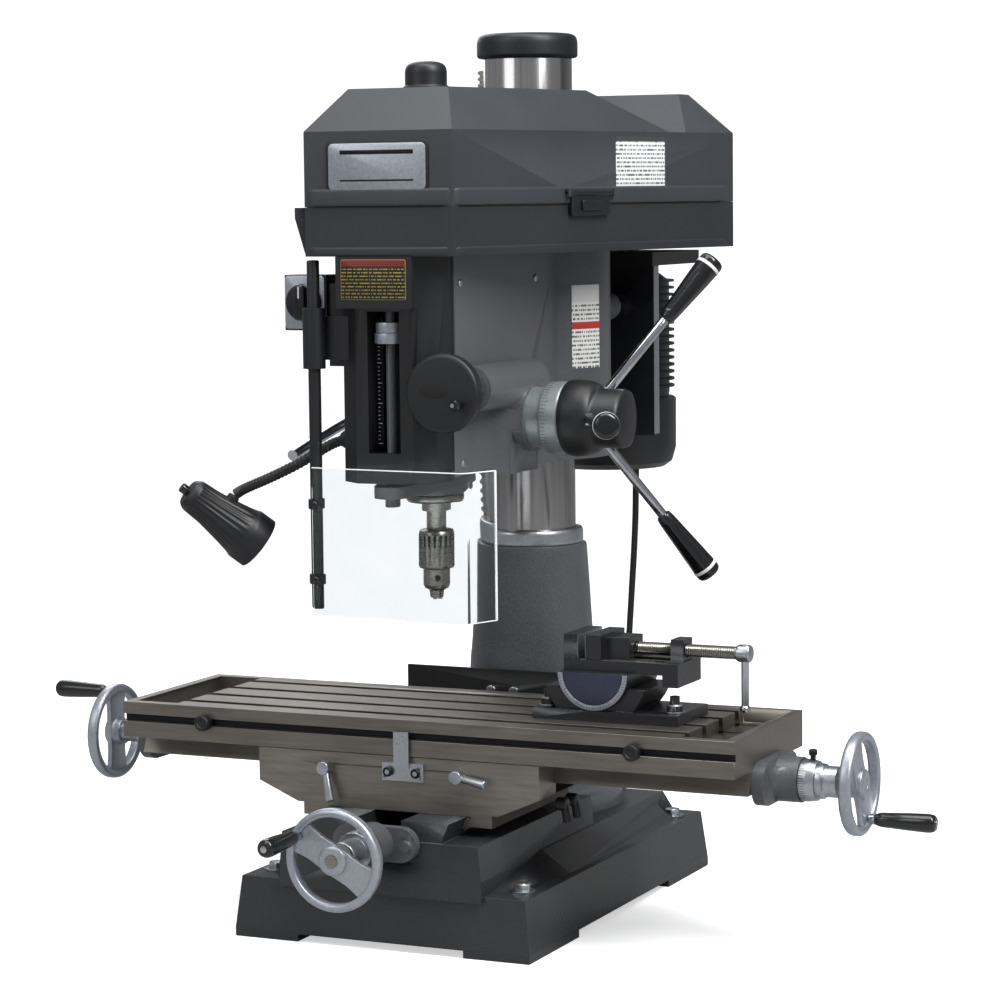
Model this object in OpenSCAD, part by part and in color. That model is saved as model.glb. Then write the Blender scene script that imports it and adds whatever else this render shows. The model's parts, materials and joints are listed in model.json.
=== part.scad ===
// Benchtop mill and drill: a round column with a geared quill head over a cross slide table.
// Origin: the middle of the base on its underside. +X right, +Y back to the column, +Z up.

/* [Base and column] */
// Width of the base casting
base_w = 391; // [360:1:420]
// Front to back length of the base casting
base_l = 586; // [560:1:620]
// Height of the flat corner pads of the base
pad_z = 74; // [60:1:80]
// Radius of the column tube
col_r = 57.5; // [50:0.5:58]
// Height of the top of the column tube
col_top = 1068; // [1040:1:1100]
// Height of the joint between column stand and column ring
stand_top = 441; // [420:1:446]
// Distance from the column's axis to the spindle's axis
swing = 287; // [280:1:295]

/* [Table] */
// Length of the table
table_l = 810; // [780:1:820]
// Depth of the table, front to back
table_w = 238; // [220:1:240]
// Height of the working surface
table_top = 270; // [266:1:272]
// Height of the table's front face
table_h = 44; // [42:1:46]
// How far the table stands to the right of the spindle
table_shift = 27; // [0:1:40]
// Width of the mouth of a T-slot
slot_w = 14; // [12:1:15]
// Distance from one T-slot to the next
slot_pitch = 55; // [52:1:56]

/* [Head] */
// Underside of the head casting
head_z = 556; // [554:1:560]
// Underside of the belt housing
pan_z = 823; // [821:1:826]
// Joint between belt housing pan and lid
split_z = 881; // [876:1:886]
// Top of the lid's side walls
ridge_z = 970; // [966:1:974]
// Top of the lid
lid_top = 1021; // [1019:1:1026]
// Radius of the quill
quill_r = 37.5; // [36:0.5:38]
// Distance from the table to the height of the chuck's nose
nose_gap = 138; // [136:1:142]

/* [Hand controls] */
// Radius of the three feed handwheels
wheel_r = 61; // [56:1:64]
// Length of a feed lever from the axis of the hub
lever_l = 255; // [230:1:260]
// Angle of a feed lever out from the hub's disc
lever_lean = 28.6; // [24:0.2:32]

/* [Hidden] */
$fn = 48;
fit = 0.05;
gap = 0.3;
col_y = 165;
spindle_y = col_y - swing;
stand_z = 98;
bolt_x = 165;
bolt_y = 242;
ways_z = 158;
ways_hw = 92;
table_x0 = table_shift - table_l / 2;
table_x1 = table_shift + table_l / 2;
table_y = -125;
table_y0 = table_y - table_w / 2;
table_y1 = table_y + table_w / 2;
table_z0 = table_top - table_h;
saddle_y0 = table_y0 + 2;
saddle_y1 = table_y1 - 8;
lock_left = -92.5;
lock_right = 84.4;
lock_z = 206.5;
lock_front = -195;
lock_rear = -165;
screw_x_z = 208.5;
screw_y_z = 131;
motor_y = 433;
idler_y = 12;
capstan_y = -70;
capstan_z = 623;
worm_x = 84;
worm_z = 664;
nose_z = table_top + nose_gap;
quill_z = nose_z + 116;
lever_turn = 2.3;
rack_r = 66.5;
pulley_z = 842;
pulley_step = 22;
steps = [0, 1, 2, 3];
spindle_steps = [55, 45, 35, 25];
idler_steps = [52, 62, 72, 82];
motor_steps = [92, 82, 72, 62];
vise_x = 228;
vise_y = -125;
vise_z = 328;
vise_r = 45.5;
guard_x = -92;
guard_y = -260;
crank_y = 55;
crank_z = 608;
crank_x = -188;
latch_y = -11;
wall_turn = atan(133 / 574);
cord_d = 9;
coil_x = -74;
coil_y = 470;
coil_r = 50;
// Path of the power cord's loose stretch, from its gland on the motor to its coil
cord_route = [[-6, 545, 560], [-6, 545, 530], [-7, 545, 490], [-8, 545, 440], [-10, 544, 390],
    [-13, 543, 340], [-16, 542, 290], [-19, 541, 240], [-21, 540, 190], [-22, 539, 140],
    [-22, 538, 95], [-22, 537, 65], [-22, 536.5, 44.6], [-25, 536, 29.3], [-33.7, 535.4, 16.3],
    [-46.7, 535, 7.6], [-62, 534.8, 4.8], [-74, 534.8, 4.8]];
// Path of the cord from the coil to its plug
tail_route = [[-78, 405.3, 4.8], [-60, 406, 4.9], [-45, 408.5, 5.2], [-33, 412.5, 6], [-23.3, 417, 7.5],
    [-8, 426, 10.5]];
// Path of the lamp's flexible neck
neck_route = [[-74.5, -207, 602], [-90, -213, 598], [-108, -220, 588], [-130, -229, 574],
    [-150, -238, 563], [-168, -246, 554], [-184, -251, 547], [-197, -254, 541], [-205, -255, 536]];
// Path of the head raising crank's bent arm
crank_route = [[-152, 55, 608], [-170, 55, 608], [-182, 48, 607.5], [-188, 34, 606.5], [-188, 0, 603.5],
    [-188, -60, 592], [-188, -141, 574]];

// ---------- shared shapes ----------

// A box between two corners
module block(low, high) {
    translate(low) cube(high - low);
}

// A cylinder along +X, +Y or +Z from a point
module rod_x(at, r, l) {
    translate(at) rotate([0, 90, 0]) cylinder(r = r, h = l);
}

module rod_y(at, r, l) {
    translate(at) rotate([-90, 0, 0]) cylinder(r = r, h = l);
}

module rod_z(at, r, l) {
    translate(at) cylinder(r = r, h = l);
}

// A hexagonal bolt head with its round washer face, standing on z = 0
module hex_head(across, tall) {
    cylinder(r = across * 0.72, h = 2);
    translate([0, 0, 2]) cylinder(r = across / sqrt(3), h = tall - 2, $fn = 6);
}

function cross3(a, b) = [a[1]*b[2] - a[2]*b[1], a[2]*b[0] - a[0]*b[2], a[0]*b[1] - a[1]*b[0]];
function unit(v) = v / norm(v);

// A closed round tube carried along a path; 'side' is any direction that the path never takes
module swept_tube(path, r, sides, side) {
    n = len(path);
    rings = [for (i = [0 : n - 1])
        let (t = unit(path[min(i + 1, n - 1)] - path[max(i - 1, 0)]),
             u = unit(cross3(t, side)), v = cross3(t, u))
        for (k = [0 : sides - 1]) path[i] + r * (cos(360 * k / sides) * u + sin(360 * k / sides) * v)];
    walls = [for (i = [0 : n - 2], k = [0 : sides - 1])
        let (a = i * sides + k, b = i * sides + (k + 1) % sides) [a, a + sides, b + sides, b]];
    ends = [[for (k = [0 : sides - 1]) k], [for (k = [sides - 1 : -1 : 0]) (n - 1) * sides + k]];
    polyhedron(points = rings, faces = concat(walls, ends), convexity = 6);
}

// Half outline of the belt housing, drawn in by d all round
function housing(d) = [[97 - d, -269 + d], [230 - d, 305], [105 - d, 565 - d],
    [-105 + d, 565 - d], [-230 + d, 305], [-97 + d, -269 + d]];

// ---------- base and column ----------

module base_casting() color("#55585b") difference() {
    union() {
        hull() {
            block([-base_w/2, -base_l/2, 0], [base_w/2, base_l/2, 12]);
            block([-base_w/2 + 7, -base_l/2 + 6, pad_z - 8], [base_w/2 - 7, base_l/2 - 7, pad_z]);
        }
        hull() {
            block([-178, -130, pad_z - 4], [178, 215, pad_z]);
            block([-150, -262, pad_z - 4], [150, base_l/2 - 8, pad_z]);
            block([-136, -120, pad_z], [136, base_l/2 - 11, stand_z]);
        }
        hull() {
            block([-134, -base_l/2 + 1, 66], [134, 49.5, 92]);
            block([-130, -base_l/2 + 1, 92], [130, 49.5, 134]);
        }
        block([-ways_hw + 10, -base_l/2 + 2, 130], [ways_hw - 10, 40, ways_z - 20]);
        translate([0, 40, 0]) rotate([90, 0, 0]) linear_extrude(base_l/2 + 38)
            polygon([[-82, 134], [82, 134], [ways_hw, ways_z], [-ways_hw, ways_z]]);
    }
    // hollow underside with feet at the four corners
    block([-140, -215, -1], [140, 215, 52]);
    block([-120, -200, 50], [120, 215, 84]);
    block([-base_w, -145, -1], [base_w, 150, 9]);
    block([-110, -base_l, -1], [110, base_l, 9]);
    // clear way for the cross screw and its nut
    block([-30, -base_l, 112], [30, 25, ways_z + 1]);
    rod_y([0, -base_l/2 - 1, screw_y_z], 22, 40);
    for (x = [-bolt_x, bolt_x], y = [-bolt_y, bolt_y]) {
        rod_z([x, y, -1], 7, pad_z + 40);
        rod_z([x, y, pad_z], 20, 40);
    }
}

module at_stand_bolts() for (a = [45 : 90 : 315])
    translate([103 * cos(a), col_y + 103 * sin(a), 0]) children();

module column_stand() color("#5c5f62") difference() {
    translate([0, col_y, 0]) rotate_extrude() polygon([[0, stand_z], [115, stand_z], [115, 116],
        [100, 128], [92, 150], [86, 200], [82.6, 280], [79.2, 320], [71.7, stand_top], [0, stand_top]]);
    rod_z([0, col_y, 110], col_r + fit, stand_top);
    at_stand_bolts() {
        translate([0, 0, 90]) cylinder(r = 6.5, h = 40);
        translate([0, 0, 116]) cylinder(r = 15, h = 70);
    }
}

module stand_bolts() color("#9a9da0") at_stand_bolts() {
    translate([0, 0, stand_z + 0.2]) cylinder(r = 6, h = 20);
    translate([0, 0, 116]) hex_head(19, 10);
}

module column_tube() color("#b9bab8") difference() {
    rod_z([0, col_y, 110.2], col_r, col_top - 110.2);
    rod_z([0, col_y, 100], col_r - 8, col_top);
}

module column_ring() color("#a9abac") difference() {
    rod_z([0, col_y, stand_top], 67.2, 20);
    rod_z([0, col_y, stand_top - 1], col_r + fit, 30);
}

module column_cap() color("#26292b") difference() {
    union() {
        translate([0, col_y, 0]) rotate_extrude() polygon([[0, col_top], [65, col_top], [65, col_top + 25],
            [61, col_top + 30], [0, col_top + 31]]);
        rod_z([0, col_y, col_top - 20], col_r - 8.1, 22);
    }
    rod_z([0, col_y, col_top - 21], col_r - 14, 40);
}

// Rubber flap over the rear of the ways, clamped by two screws to a pad on the stand
module way_cover() color("#1c1e20") {
    block([-137, 70, 205], [137, 74, 285]);
    translate([-137, 0, 0]) rotate([90, 0, 90]) linear_extrude(274)
        polygon([[70, 205], [74, 205], [73, 186], [68, 172], [60, 164], [58, 166], [65, 174], [69, 188]]);
    for (x = [-16, 16]) translate([x, 70, 258]) rotate([90, 0, 0]) cylinder(r = 7, h = 5);
    for (x = [-16, 16]) rod_y([x, 74, 258], 5, 7.6);
}

// Flanged bearing of the cross screw on the front of the base
module y_bearing() color("#83878a") difference() {
    union() {
        hull() for (x = [-34, 34]) rod_y([x, -base_l/2 - 11, screw_y_z], 21, 12);
        rod_y([0, -base_l/2 - 42, screw_y_z], 26, 32);
        for (x = [-42, 42]) rod_y([x, -base_l/2 - 17, screw_y_z], 6.5, 6.5);
    }
    rod_y([0, -base_l/2 - 60, screw_y_z], 10 + fit, 80);
}

// ---------- saddle and table ----------

module saddle() color("#7b766c") difference() {
    translate([0, saddle_y1, 0]) rotate([90, 0, 0]) linear_extrude(saddle_y1 - saddle_y0)
        polygon([[-187, table_z0 - 1], [-187, 184], [-134, 161], [-126, 161], [-126, 146], [-98, 146],
            [-84.8, 140], [-ways_hw - 0.3, ways_z + 0.4], [ways_hw + 7, ways_z + 0.4], [88, 140],
            [98, 146], [126, 146], [126, 161], [134, 161], [187, 184], [187, table_z0 - 1]]);
    // crosswise dovetail for the table
    translate([-200, table_y, 0]) rotate([90, 0, 90]) linear_extrude(400)
        polygon([[-62, table_z0 + 1], [-62, table_z0 - 1.5], [-74, 198], [82, 198], [70, table_z0 - 1.5],
            [70, table_z0 + 1]]);
    // trench for the table screw
    block([-200, table_y - 16, 190], [200, table_y + 16, 230]);
    // pockets that let the end bearings of the table screw in
    for (x = [-190, 150]) block([x, table_y - 67, 180], [x + 40, table_y + 67, 230]);
    for (x = [lock_left, lock_right]) rod_y([x, saddle_y0 - 1, lock_z], 5 + fit, 40);
    for (y = [lock_front, lock_rear]) rod_x([150, y, 172.5], 5 + fit, 60);
}

module gib_strips() color("#8f8c84") {
    // tapered strip of the table's dovetail
    translate([-186, table_y, 0]) rotate([90, 0, 90]) linear_extrude(372)
        polygon([[70.7, 222], [81.4, 198.4], [78.1, 198.4], [68.1, 222]]);
    // strip of the saddle's dovetail
    translate([0, saddle_y1, 0]) rotate([90, 0, 0]) linear_extrude(saddle_y1 - saddle_y0)
        polygon([[92.2, 157], [97.6, 157], [89.2, 143], [86.4, 143]]);
    // bronze nuts of the two feed screws
    difference() {
        block([-22, -110, 117], [22, -70, ways_z + 0.2]);
        rod_y([0, -111, screw_y_z], 8 + gap, 50);
    }
    difference() {
        block([-20, table_y - 15.8, 190.2], [20, table_y + 15.8, 219]);
        rod_x([-21, table_y, screw_x_z], 8 + gap, 50);
    }
}

// One lock lever: a boss on a threaded stem and a slim arm turned by 'turn' in the front plane
module lock_lever(at, turn) translate(at) rotate([90, 0, 0]) {
    translate([0, 0, -24]) cylinder(r = 5, h = 24);
    cylinder(r = 8.5, h = 16);
    rotate([0, 0, turn]) rotate([0, 78, 0]) translate([-8, 0, 0]) cylinder(r1 = 4.5, r2 = 5.5, h = 46);
}

module x_lock_left() color("#c3c4cc") lock_lever([lock_left, saddle_y0 - gap, lock_z], -74);
module x_lock_right() color("#c3c4cc") lock_lever([lock_right, saddle_y0 - gap, lock_z], -8);

module stop_bracket() color("#a4a8ad") {
    front = saddle_y0;
    difference() {
        union() {
            block([-17, front - 4, 196], [38, front, 218]);
            block([0, front - 7, 216], [20, front - 4, 256]);
            block([0, front - 7, 212], [20, front, 218]);
        }
        for (x = [-8, 29]) rod_y([x, front - 8, 207], 3.2, 20);
    }
    for (x = [-8, 29]) rod_y([x, front - 9, 207], 5.5, 5);
}

// Short lever on the saddle's right side that locks the cross slide
module side_lever(y) color("#26292b") {
    rod_x([160, y, 172.5], 5, 34);
    rod_x([190, y, 172.5], 8, 14);
    translate([199, y, 172.5]) rotate([0, 168, 0]) cylinder(r1 = 4.5, r2 = 5.5, h = 22);
}

module y_lock_front() side_lever(lock_front);
module y_lock_rear() side_lever(lock_rear);

module table() color("#8b877d") difference() {
    union() {
        block([table_x0, table_y0, table_z0], [table_x1, table_y1, table_top]);
        // dovetail slide along the whole length
        translate([table_x0, table_y, 0]) rotate([90, 0, 90]) linear_extrude(table_l)
            polygon([[-61.8, table_z0 + 1], [-61.8, table_z0 - 1.5], [-73.6, 198.2], [77.6, 198.2],
                [66.6, table_z0 - 1.5], [66.6, table_z0 + 1]]);
    }
    // coolant troughs round the ends
    for (x = [table_x0 + 13, table_x1 - 71])
        block([x, table_y0 + 13, table_top - 17], [x + 58, table_y1 - 13, table_top + 1]);
    // T-slots
    for (k = [-1.5 : 1 : 1.5]) {
        y = table_y + k * slot_pitch;
        block([table_x0 + 40, y - slot_w/2, table_top - 18], [table_x1 - 40, y + slot_w/2, table_top + 1]);
        block([table_x0 + 70, y - slot_w/2 - 5, table_top - 27], [table_x1 - 70, y + slot_w/2 + 5, table_top - 17]);
    }
    // groove for the travel stops
    block([table_x0 - 1, table_y0 - 1, 246], [table_x1 + 1, table_y0 + 7, 255]);
    // way for the feed screw
    block([table_x0 - 1, table_y - 22, 180], [table_x1 + 1, table_y + 22, table_z0 + 2]);
}

module x_bearings() color("#777c80") {
    difference() {
        union() {
            hull() for (y = [-38, 38]) rod_x([table_x1, table_y + y, screw_x_z], 26, 14);
            rod_x([table_x1 + 12, table_y, screw_x_z], 27, 30);
        }
        rod_x([table_x1 - 2, table_y, screw_x_z], 9 + fit, 60);
    }
    difference() {
        hull() for (y = [-38, 38]) rod_x([table_x0 - 14, table_y + y, screw_x_z], 24, 14);
        rod_x([table_x0 - 20, table_y, screw_x_z], 9 + fit, 60);
    }
}

// Travel stop: a square foot in the groove and a knurled black screw
module table_stop(x) color("#202326") {
    block([x - 9, table_y0 - 1, 246.3], [x + 9, table_y0 + 6.5, 254.7]);
    rod_y([x, table_y0 - 11, 250.5], 10, 11 - gap);
}

module table_stop_left() table_stop(-261);
module table_stop_right() table_stop(308);

// ---------- feed screws and handwheels ----------

module x_leadscrew() color("#9c9c98") {
    rod_x([-460, table_y, screw_x_z], 8, 1000);
    rod_x([table_x0 - 70, table_y, screw_x_z], 9, 78);
    rod_x([table_x1 - 8, table_y, screw_x_z], 9, 96);
}

// Handwheel about +X: dished rim, hub and one broad web at angle 'web'
module handwheel(web) {
    rotate([0, 90, 0]) {
        rotate_extrude($fn = 96) polygon([[wheel_r - 10, -7], [wheel_r - 3, -9], [wheel_r, -5],
            [wheel_r, 4], [wheel_r - 4, 8], [wheel_r - 9, 7]]);
        difference() {
            union() {
                translate([0, 0, -14]) cylinder(r = 17, h = 22);
                rotate([0, 0, web]) translate([-wheel_r + 6, -15, -4]) cube([2 * wheel_r - 12, 30, 7]);
            }
            translate([0, 0, -15]) cylinder(r = 8, h = 24);
        }
    }
}

// Machine handle: a waisted black grip on a short collar, from the wheel's face along +Z
module grip() {
    cylinder(r = 5, h = 8);
    translate([0, 0, 6]) rotate_extrude() polygon([[0, 0], [7.5, 0], [9.5, 18], [11, 50], [11.2, 72],
        [9.5, 79], [6, 80], [0, 80]]);
}

module x_handwheels() {
    color("#b7bcc4") {
        translate([543, table_y, screw_x_z]) handwheel(35);
        translate([-463, table_y, screw_x_z]) mirror([1, 0, 0]) handwheel(100);
    }
    color("#c2c4c4") difference() {
        union() {
            rod_x([table_x1 + 42.3, table_y, screw_x_z], 25, 20);
            rod_x([table_x1 + 62, table_y, screw_x_z], 21, 26);
            rod_z([table_x1 + 54, table_y, screw_x_z + 23], 4.5, 13);
        }
        rod_x([table_x1 + 40, table_y, screw_x_z], 9, 60);
    }
    color("#c2c4c4") difference() {
        rod_x([table_x0 - 72, table_y, screw_x_z], 15, 48);
        rod_x([table_x0 - 80, table_y, screw_x_z], 9, 70);
    }
    color("#23262b") {
        translate([549, table_y + 21, screw_x_z - 45]) rotate([0, 90, 0]) grip();
        translate([-469, table_y, screw_x_z + 51]) rotate([0, -90, 0]) grip();
    }
}

module y_leadscrew() color("#9c9c98") {
    rod_y([0, -414, screw_y_z], 8, 430);
    rod_y([0, -389, screw_y_z], 10, 101);
}

module y_handwheel() {
    color("#b7bcc4") translate([0, -405, screw_y_z]) rotate([0, 0, -90]) handwheel(-45);
    color("#c2c4c4") difference() {
        union() {
            rod_y([0, -359, screw_y_z], 24, 23.7);
            rod_y([0, -391.5, screw_y_z], 17, 33);
        }
        rod_y([0, -400, screw_y_z], 10, 90);
    }
    color("#23262b") translate([-45, -411, screw_y_z + 26]) rotate([90, 0, 0]) grip();
}

// ---------- head ----------

module elevating_rack() color("#8a8780") {
    tooth = 8;
    low = stand_top + 20.3;
    count = floor((col_top - 12 - low) / tooth);
    translate([0, col_y + 10, low]) rotate([90, 0, 0]) linear_extrude(20)
        polygon(concat([[-col_r - 0.4, count * tooth], [-col_r - 0.4, 0]],
            [for (k = [0 : count - 1], p = [[rack_r - 3, 0], [rack_r - 3, 2.4], [rack_r, 4], [rack_r, 6],
                [rack_r - 3, 8]]) [-p[0], k * tooth + p[1]]]));
}

module head_casting() color("#58595c") difference() {
    union() {
        rod_z([0, col_y, head_z], 105, pan_z - head_z);
        difference() {
            block([-72, -215, head_z], [72, col_y - 40, pan_z]);
            block([-62, -205, head_z + 10], [62, col_y - 106, pan_z + 1]);
        }
        rod_z([0, spindle_y, head_z], 52, pan_z - head_z);
        rod_x([60, capstan_y, capstan_z], 42, 52);
        block([60, capstan_y - 40, head_z], [96, capstan_y + 40, capstan_z]);
        rod_y([worm_x, -201, worm_z], 28, 175);
        // gearbox of the head raising crank
        rod_x([-150, crank_y, crank_z], 32, 90);
        block([-96, crank_y - 45, crank_z - 45], [-60, crank_y + 70, crank_z + 45]);
        // ears for the motor's slide rods
        for (x = [-64, 64]) rod_y([x, col_y + 60, 745], 18, 52);
    }
    rod_z([0, col_y, head_z - 1], col_r + fit, pan_z);
    block([-rack_r - 1, col_y - 10.5, head_z - 1], [-40, col_y + 10.5, pan_z + 1]);
    rod_z([0, spindle_y, head_z - 1], quill_r + fit, 238);
    rod_z([0, spindle_y, head_z], 20, pan_z);
    // pinion, its shaft and the worm
    rod_x([-14, capstan_y, capstan_z], 21.5, 28);
    rod_x([-45, capstan_y, capstan_z], 14 + fit, 160);
    rod_x([70, capstan_y, capstan_z], 33, 24);
    rod_y([worm_x, -216, worm_z], 25, 15);
    rod_y([worm_x, -210, worm_z], 7 + fit, 150);
    rod_y([worm_x, capstan_y - 18, worm_z], 10.5, 36);
    rod_x([-151, crank_y, crank_z], 9 + fit, 60);
    for (x = [-64, 64]) rod_y([x, col_y + 80, 745], 8, 60);
}

module front_housing() color("#232426") difference() {
    union() {
        translate([0, 0, head_z - 3]) linear_extrude(pan_z - head_z + 3)
            polygon([[-37, -260], [37, -260], [60, -246], [70, -226], [70, -215.2], [-70, -215.2],
                [-70, -226], [-60, -246]]);
        block([-56, -272, 762], [44, -240, pan_z]);
        // sleeve of the guard's rod and its arm
        block([guard_x, -252, 700], [-50, -236, 752]);
        rod_z([guard_x, guard_y, 690], 13.5, 72);
    }
    block([-21, -262, 590], [21, -219, 758]);
    rod_z([0, -240, head_z - 5], 6 + gap, 245);
    rod_y([worm_x, -270, worm_z], 25, 60);
    rod_z([guard_x, guard_y, 680], 7.5 + fit, 90);
}

module belt_pan() color("#2b2d2f") {
    difference() {
      union() {
          translate([0, 0, pan_z]) linear_extrude(split_z - pan_z) polygon(housing(0));
          hull() {
              block([-112, -266, 868], [-98, -236, 880.7]);
              block([-100, -264, 826], [-96, -240, 830]);
          }
      }
      translate([0, 0, pan_z + 3]) linear_extrude(split_z) polygon(housing(4));
      rod_z([0, col_y, pan_z - 1], 78, 10);
      rod_z([0, spindle_y, pan_z - 1], 34, 10);
      rod_z([0, motor_y, pan_z - 1], 30, 10);
    }
    // stud of the idler pulley
    rod_z([0, idler_y, pan_z + 2], 9, 4 * pulley_step + 24);
}

// One belt round two pulleys
module belt(y0, r0, y1, r1, z) translate([0, 0, z - 4]) linear_extrude(8) difference() {
    hull() {
        translate([0, y0]) circle(r = r0 + 3, $fn = 72);
        translate([0, y1]) circle(r = r1 + 3, $fn = 72);
    }
    hull() {
        translate([0, y0]) circle(r = r0 - 3, $fn = 72);
        translate([0, y1]) circle(r = r1 - 3, $fn = 72);
    }
}

module v_belts() color("#1d1d1e") {
    belt(spindle_y, spindle_steps[0], idler_y, idler_steps[0], pulley_z + pulley_step/2);
    belt(idler_y, idler_steps[3], motor_y, motor_steps[3], pulley_z + 3.5 * pulley_step);
}

// Four-step pulley; 'sizes' are the belt radii from the bottom up
module step_pulley(y, sizes, bore) color("#a5a7a8") translate([0, y, pulley_z]) difference() {
    rotate_extrude($fn = 72) polygon(concat([[0, 0]], [for (k = steps, p = [[4, 0], [4, 2], [-4.5, 6],
        [-4.5, 16], [4, 20], [4, pulley_step]]) [sizes[k] + p[0], k * pulley_step + p[1]]],
        [[0, 4 * pulley_step]]));
    translate([0, 0, -1]) cylinder(r = bore, h = 5 * pulley_step);
}

module spindle_pulley() {
    step_pulley(spindle_y, spindle_steps, 14 + fit);
    color("#a5a7a8") difference() {
        rod_z([0, spindle_y, 800], 19.5, pulley_z - 800);
        rod_z([0, spindle_y, 799], 14 + fit, 60);
    }
}

module idler_pulley() step_pulley(idler_y, idler_steps, 9 + fit);

module motor_pulley() {
    step_pulley(motor_y, motor_steps, 11);
    color("#9a9c9d") rod_z([0, motor_y, 705], 11, pulley_step * 4 + pulley_z - 705 + 6);
}

module motor() color("#222427") {
    difference() {
        translate([0, motor_y, 0]) rotate_extrude($fn = 72) polygon(concat([[0, 518], [78, 518],
            [92, 545], [92, 612], [80, 614]],
            [for (k = [0 : 7], p = [[80, 0], [90, 1], [90, 5], [80, 6]]) [p[0], 620 + 19 * k + p[1]]],
            [[80, 775], [70, 784], [0, 784]]));
        rod_z([0, motor_y, 700], 11 + fit, 100);
    }
    difference() {
        block([-38, motor_y + 79, 600], [38, motor_y + 130, 720]);
        rod_z([-6, 545, 599], 6.6, 30);
    }
}

module motor_bracket() color("#2a2c2e") {
    difference() {
        union() {
            block([-106, 333, 570], [106, 340, 815]);
            block([-110, 320, 797], [110, motor_y + 60, 815]);
            for (x = [-106, 99]) block([x, 339, 570], [x + 7, 352, 798]);
        }
        rod_z([0, motor_y, 780], 42, 40);
        for (x = [-64, 64]) rod_y([x, 330, 745], 8, 20);
    }
    for (x = [-64, 64]) {
        rod_y([x, col_y + 80, 745], 8, 100);
        rod_y([x, 318, 745], 14, 15.9);
    }
    for (a = [45 : 90 : 315]) translate([58 * cos(a), motor_y + 58 * sin(a), 784]) cylinder(r = 6, h = 14);
}

module switch_box() color("#1e2022") {
    difference() {
        block([-155, -215, 733], [-98, -172, 800]);
        rod_y([-127, -216, 767], 4 + fit, 20);
    }
    block([-98, -210, 690], [-72, -170, 790]);
}

module lamp_neck() color("#17181a") {
    rod_x([-80, -207, 602], 11, 8);
    swept_tube(neck_route, 6.5, 12, [0, 1, 0]);
}

module belt_lid() color("#3c4043") difference() {
    union() {
        translate([0, 0, split_z + gap]) linear_extrude(ridge_z - split_z - gap) polygon(housing(0));
        hull() {
            translate([0, 0, ridge_z - 1]) linear_extrude(1) polygon([[97, -269], [197, 163], [-197, 163], [-97, -269]]);
            translate([0, 0, lid_top - 1]) linear_extrude(1) polygon([[66, -212], [135, 40], [-135, 40], [-66, -212]]);
        }
        hull() {
            translate([0, 0, ridge_z - 1]) linear_extrude(1) polygon([[205, 200], [230, 305], [105, 565],
                [-105, 565], [-230, 305], [-205, 200]]);
            translate([0, 0, lid_top - 1]) linear_extrude(1) polygon([[170, 265], [170, 300], [70, 500],
                [-70, 500], [-170, 300], [-170, 265]]);
        }
        on_latch() for (y = [-50, 44.4]) block([-1, y, 1.5], [9, y + 5.6, 10.5]);
    }
    on_latch() rod_y([5, -55, 6], 2 + fit, 110);
    translate([0, 0, split_z - 1]) linear_extrude(ridge_z - split_z - 2) polygon(housing(4));
    hull() {
        translate([0, 0, ridge_z - 5]) linear_extrude(1) polygon([[91, -262], [190, 157], [-190, 157], [-91, -262]]);
        translate([0, 0, lid_top - 5]) linear_extrude(1) polygon([[63, -208], [131, 36], [-131, 36], [-63, -208]]);
    }
    hull() {
        translate([0, 0, ridge_z - 5]) linear_extrude(1) polygon([[199, 204], [223, 303], [101, 559],
            [-101, 559], [-223, 303], [-199, 204]]);
        translate([0, 0, lid_top - 5]) linear_extrude(1) polygon([[165, 269], [165, 297], [67, 495],
            [-67, 495], [-165, 297], [-165, 269]]);
    }
    rod_z([0, col_y, split_z], 78, 200);
}

module drawbar_cap() color("#1f2123")
    translate([-5, spindle_y - 3, lid_top]) rotate_extrude() polygon([[0, 0], [27, 0], [27, 3], [25, 4],
        [25, 28], [22, 32], [0, 33]]);

// Frame of the latch: +X out of the right wall, +Y along it
module on_latch() translate([97 + (latch_y + 269) * tan(wall_turn), latch_y, 889])
    rotate([0, 0, -wall_turn]) children();

// Latch of the lid: a plate on a pin that swings out and up
module lid_latch() color("#1b1c1e") on_latch() {
    block([0.6, -40, -22], [7, 40, 6]);
    rod_y([5, -44, 6], 4.3, 88);
    rod_y([5, -49.5, 6], 2, 99);
}

module elevating_crank() color("#c8cacd") {
    rod_x([-152, crank_y, crank_z], 9, 58);
    swept_tube(crank_route, 7, 12, [0.2, 0.3, 1]);
}

// ---------- quill, spindle and chuck ----------

module quill() color("#aaa89f") difference() {
    rod_z([0, spindle_y, quill_z], quill_r, 260);
    rod_z([0, spindle_y, quill_z - 1], 22 + fit, 300);
    // flat with the feed rack's teeth
    block([-14.5, capstan_y - 19.5, quill_z + 40], [14.5, spindle_y + 60, quill_z + 240]);
}

module depth_bracket() color("#6d7072") {
    difference() {
        union() {
            hull() {
                rod_z([0, -240, 535], 22, 14);
                rod_z([0, spindle_y, 535], 50, 14);
            }
            rod_z([0, spindle_y, 527], 46, 9);
        }
        rod_z([0, spindle_y, 520], quill_r, 40);
    }
    rod_z([0, -240, 526], 6, 264);
    rod_z([0, -240, 524], 9, 12);
}

module depth_nut() color("#c9cbcf") difference() {
    union() {
        rod_z([0, -240, 720], 19, 13);
        rod_z([0, -240, 732], 17.5, 13);
    }
    rod_z([0, -240, 719], 6 + fit, 30);
}

module spindle() color("#8e8a70") difference() {
    translate([0, spindle_y, 0]) rotate_extrude() polygon([[0, nose_z + 77], [12, nose_z + 77],
        [12, nose_z + 97], [17.8, nose_z + 97], [17.8, quill_z - 8], [36, quill_z - 8],
        [37, quill_z - 5], [37, quill_z - gap], [22, quill_z - gap], [22, quill_z + 230],
        [14, quill_z + 236], [14, 985], [8, 985], [8, 1008], [0, 1008]]);
}

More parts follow.
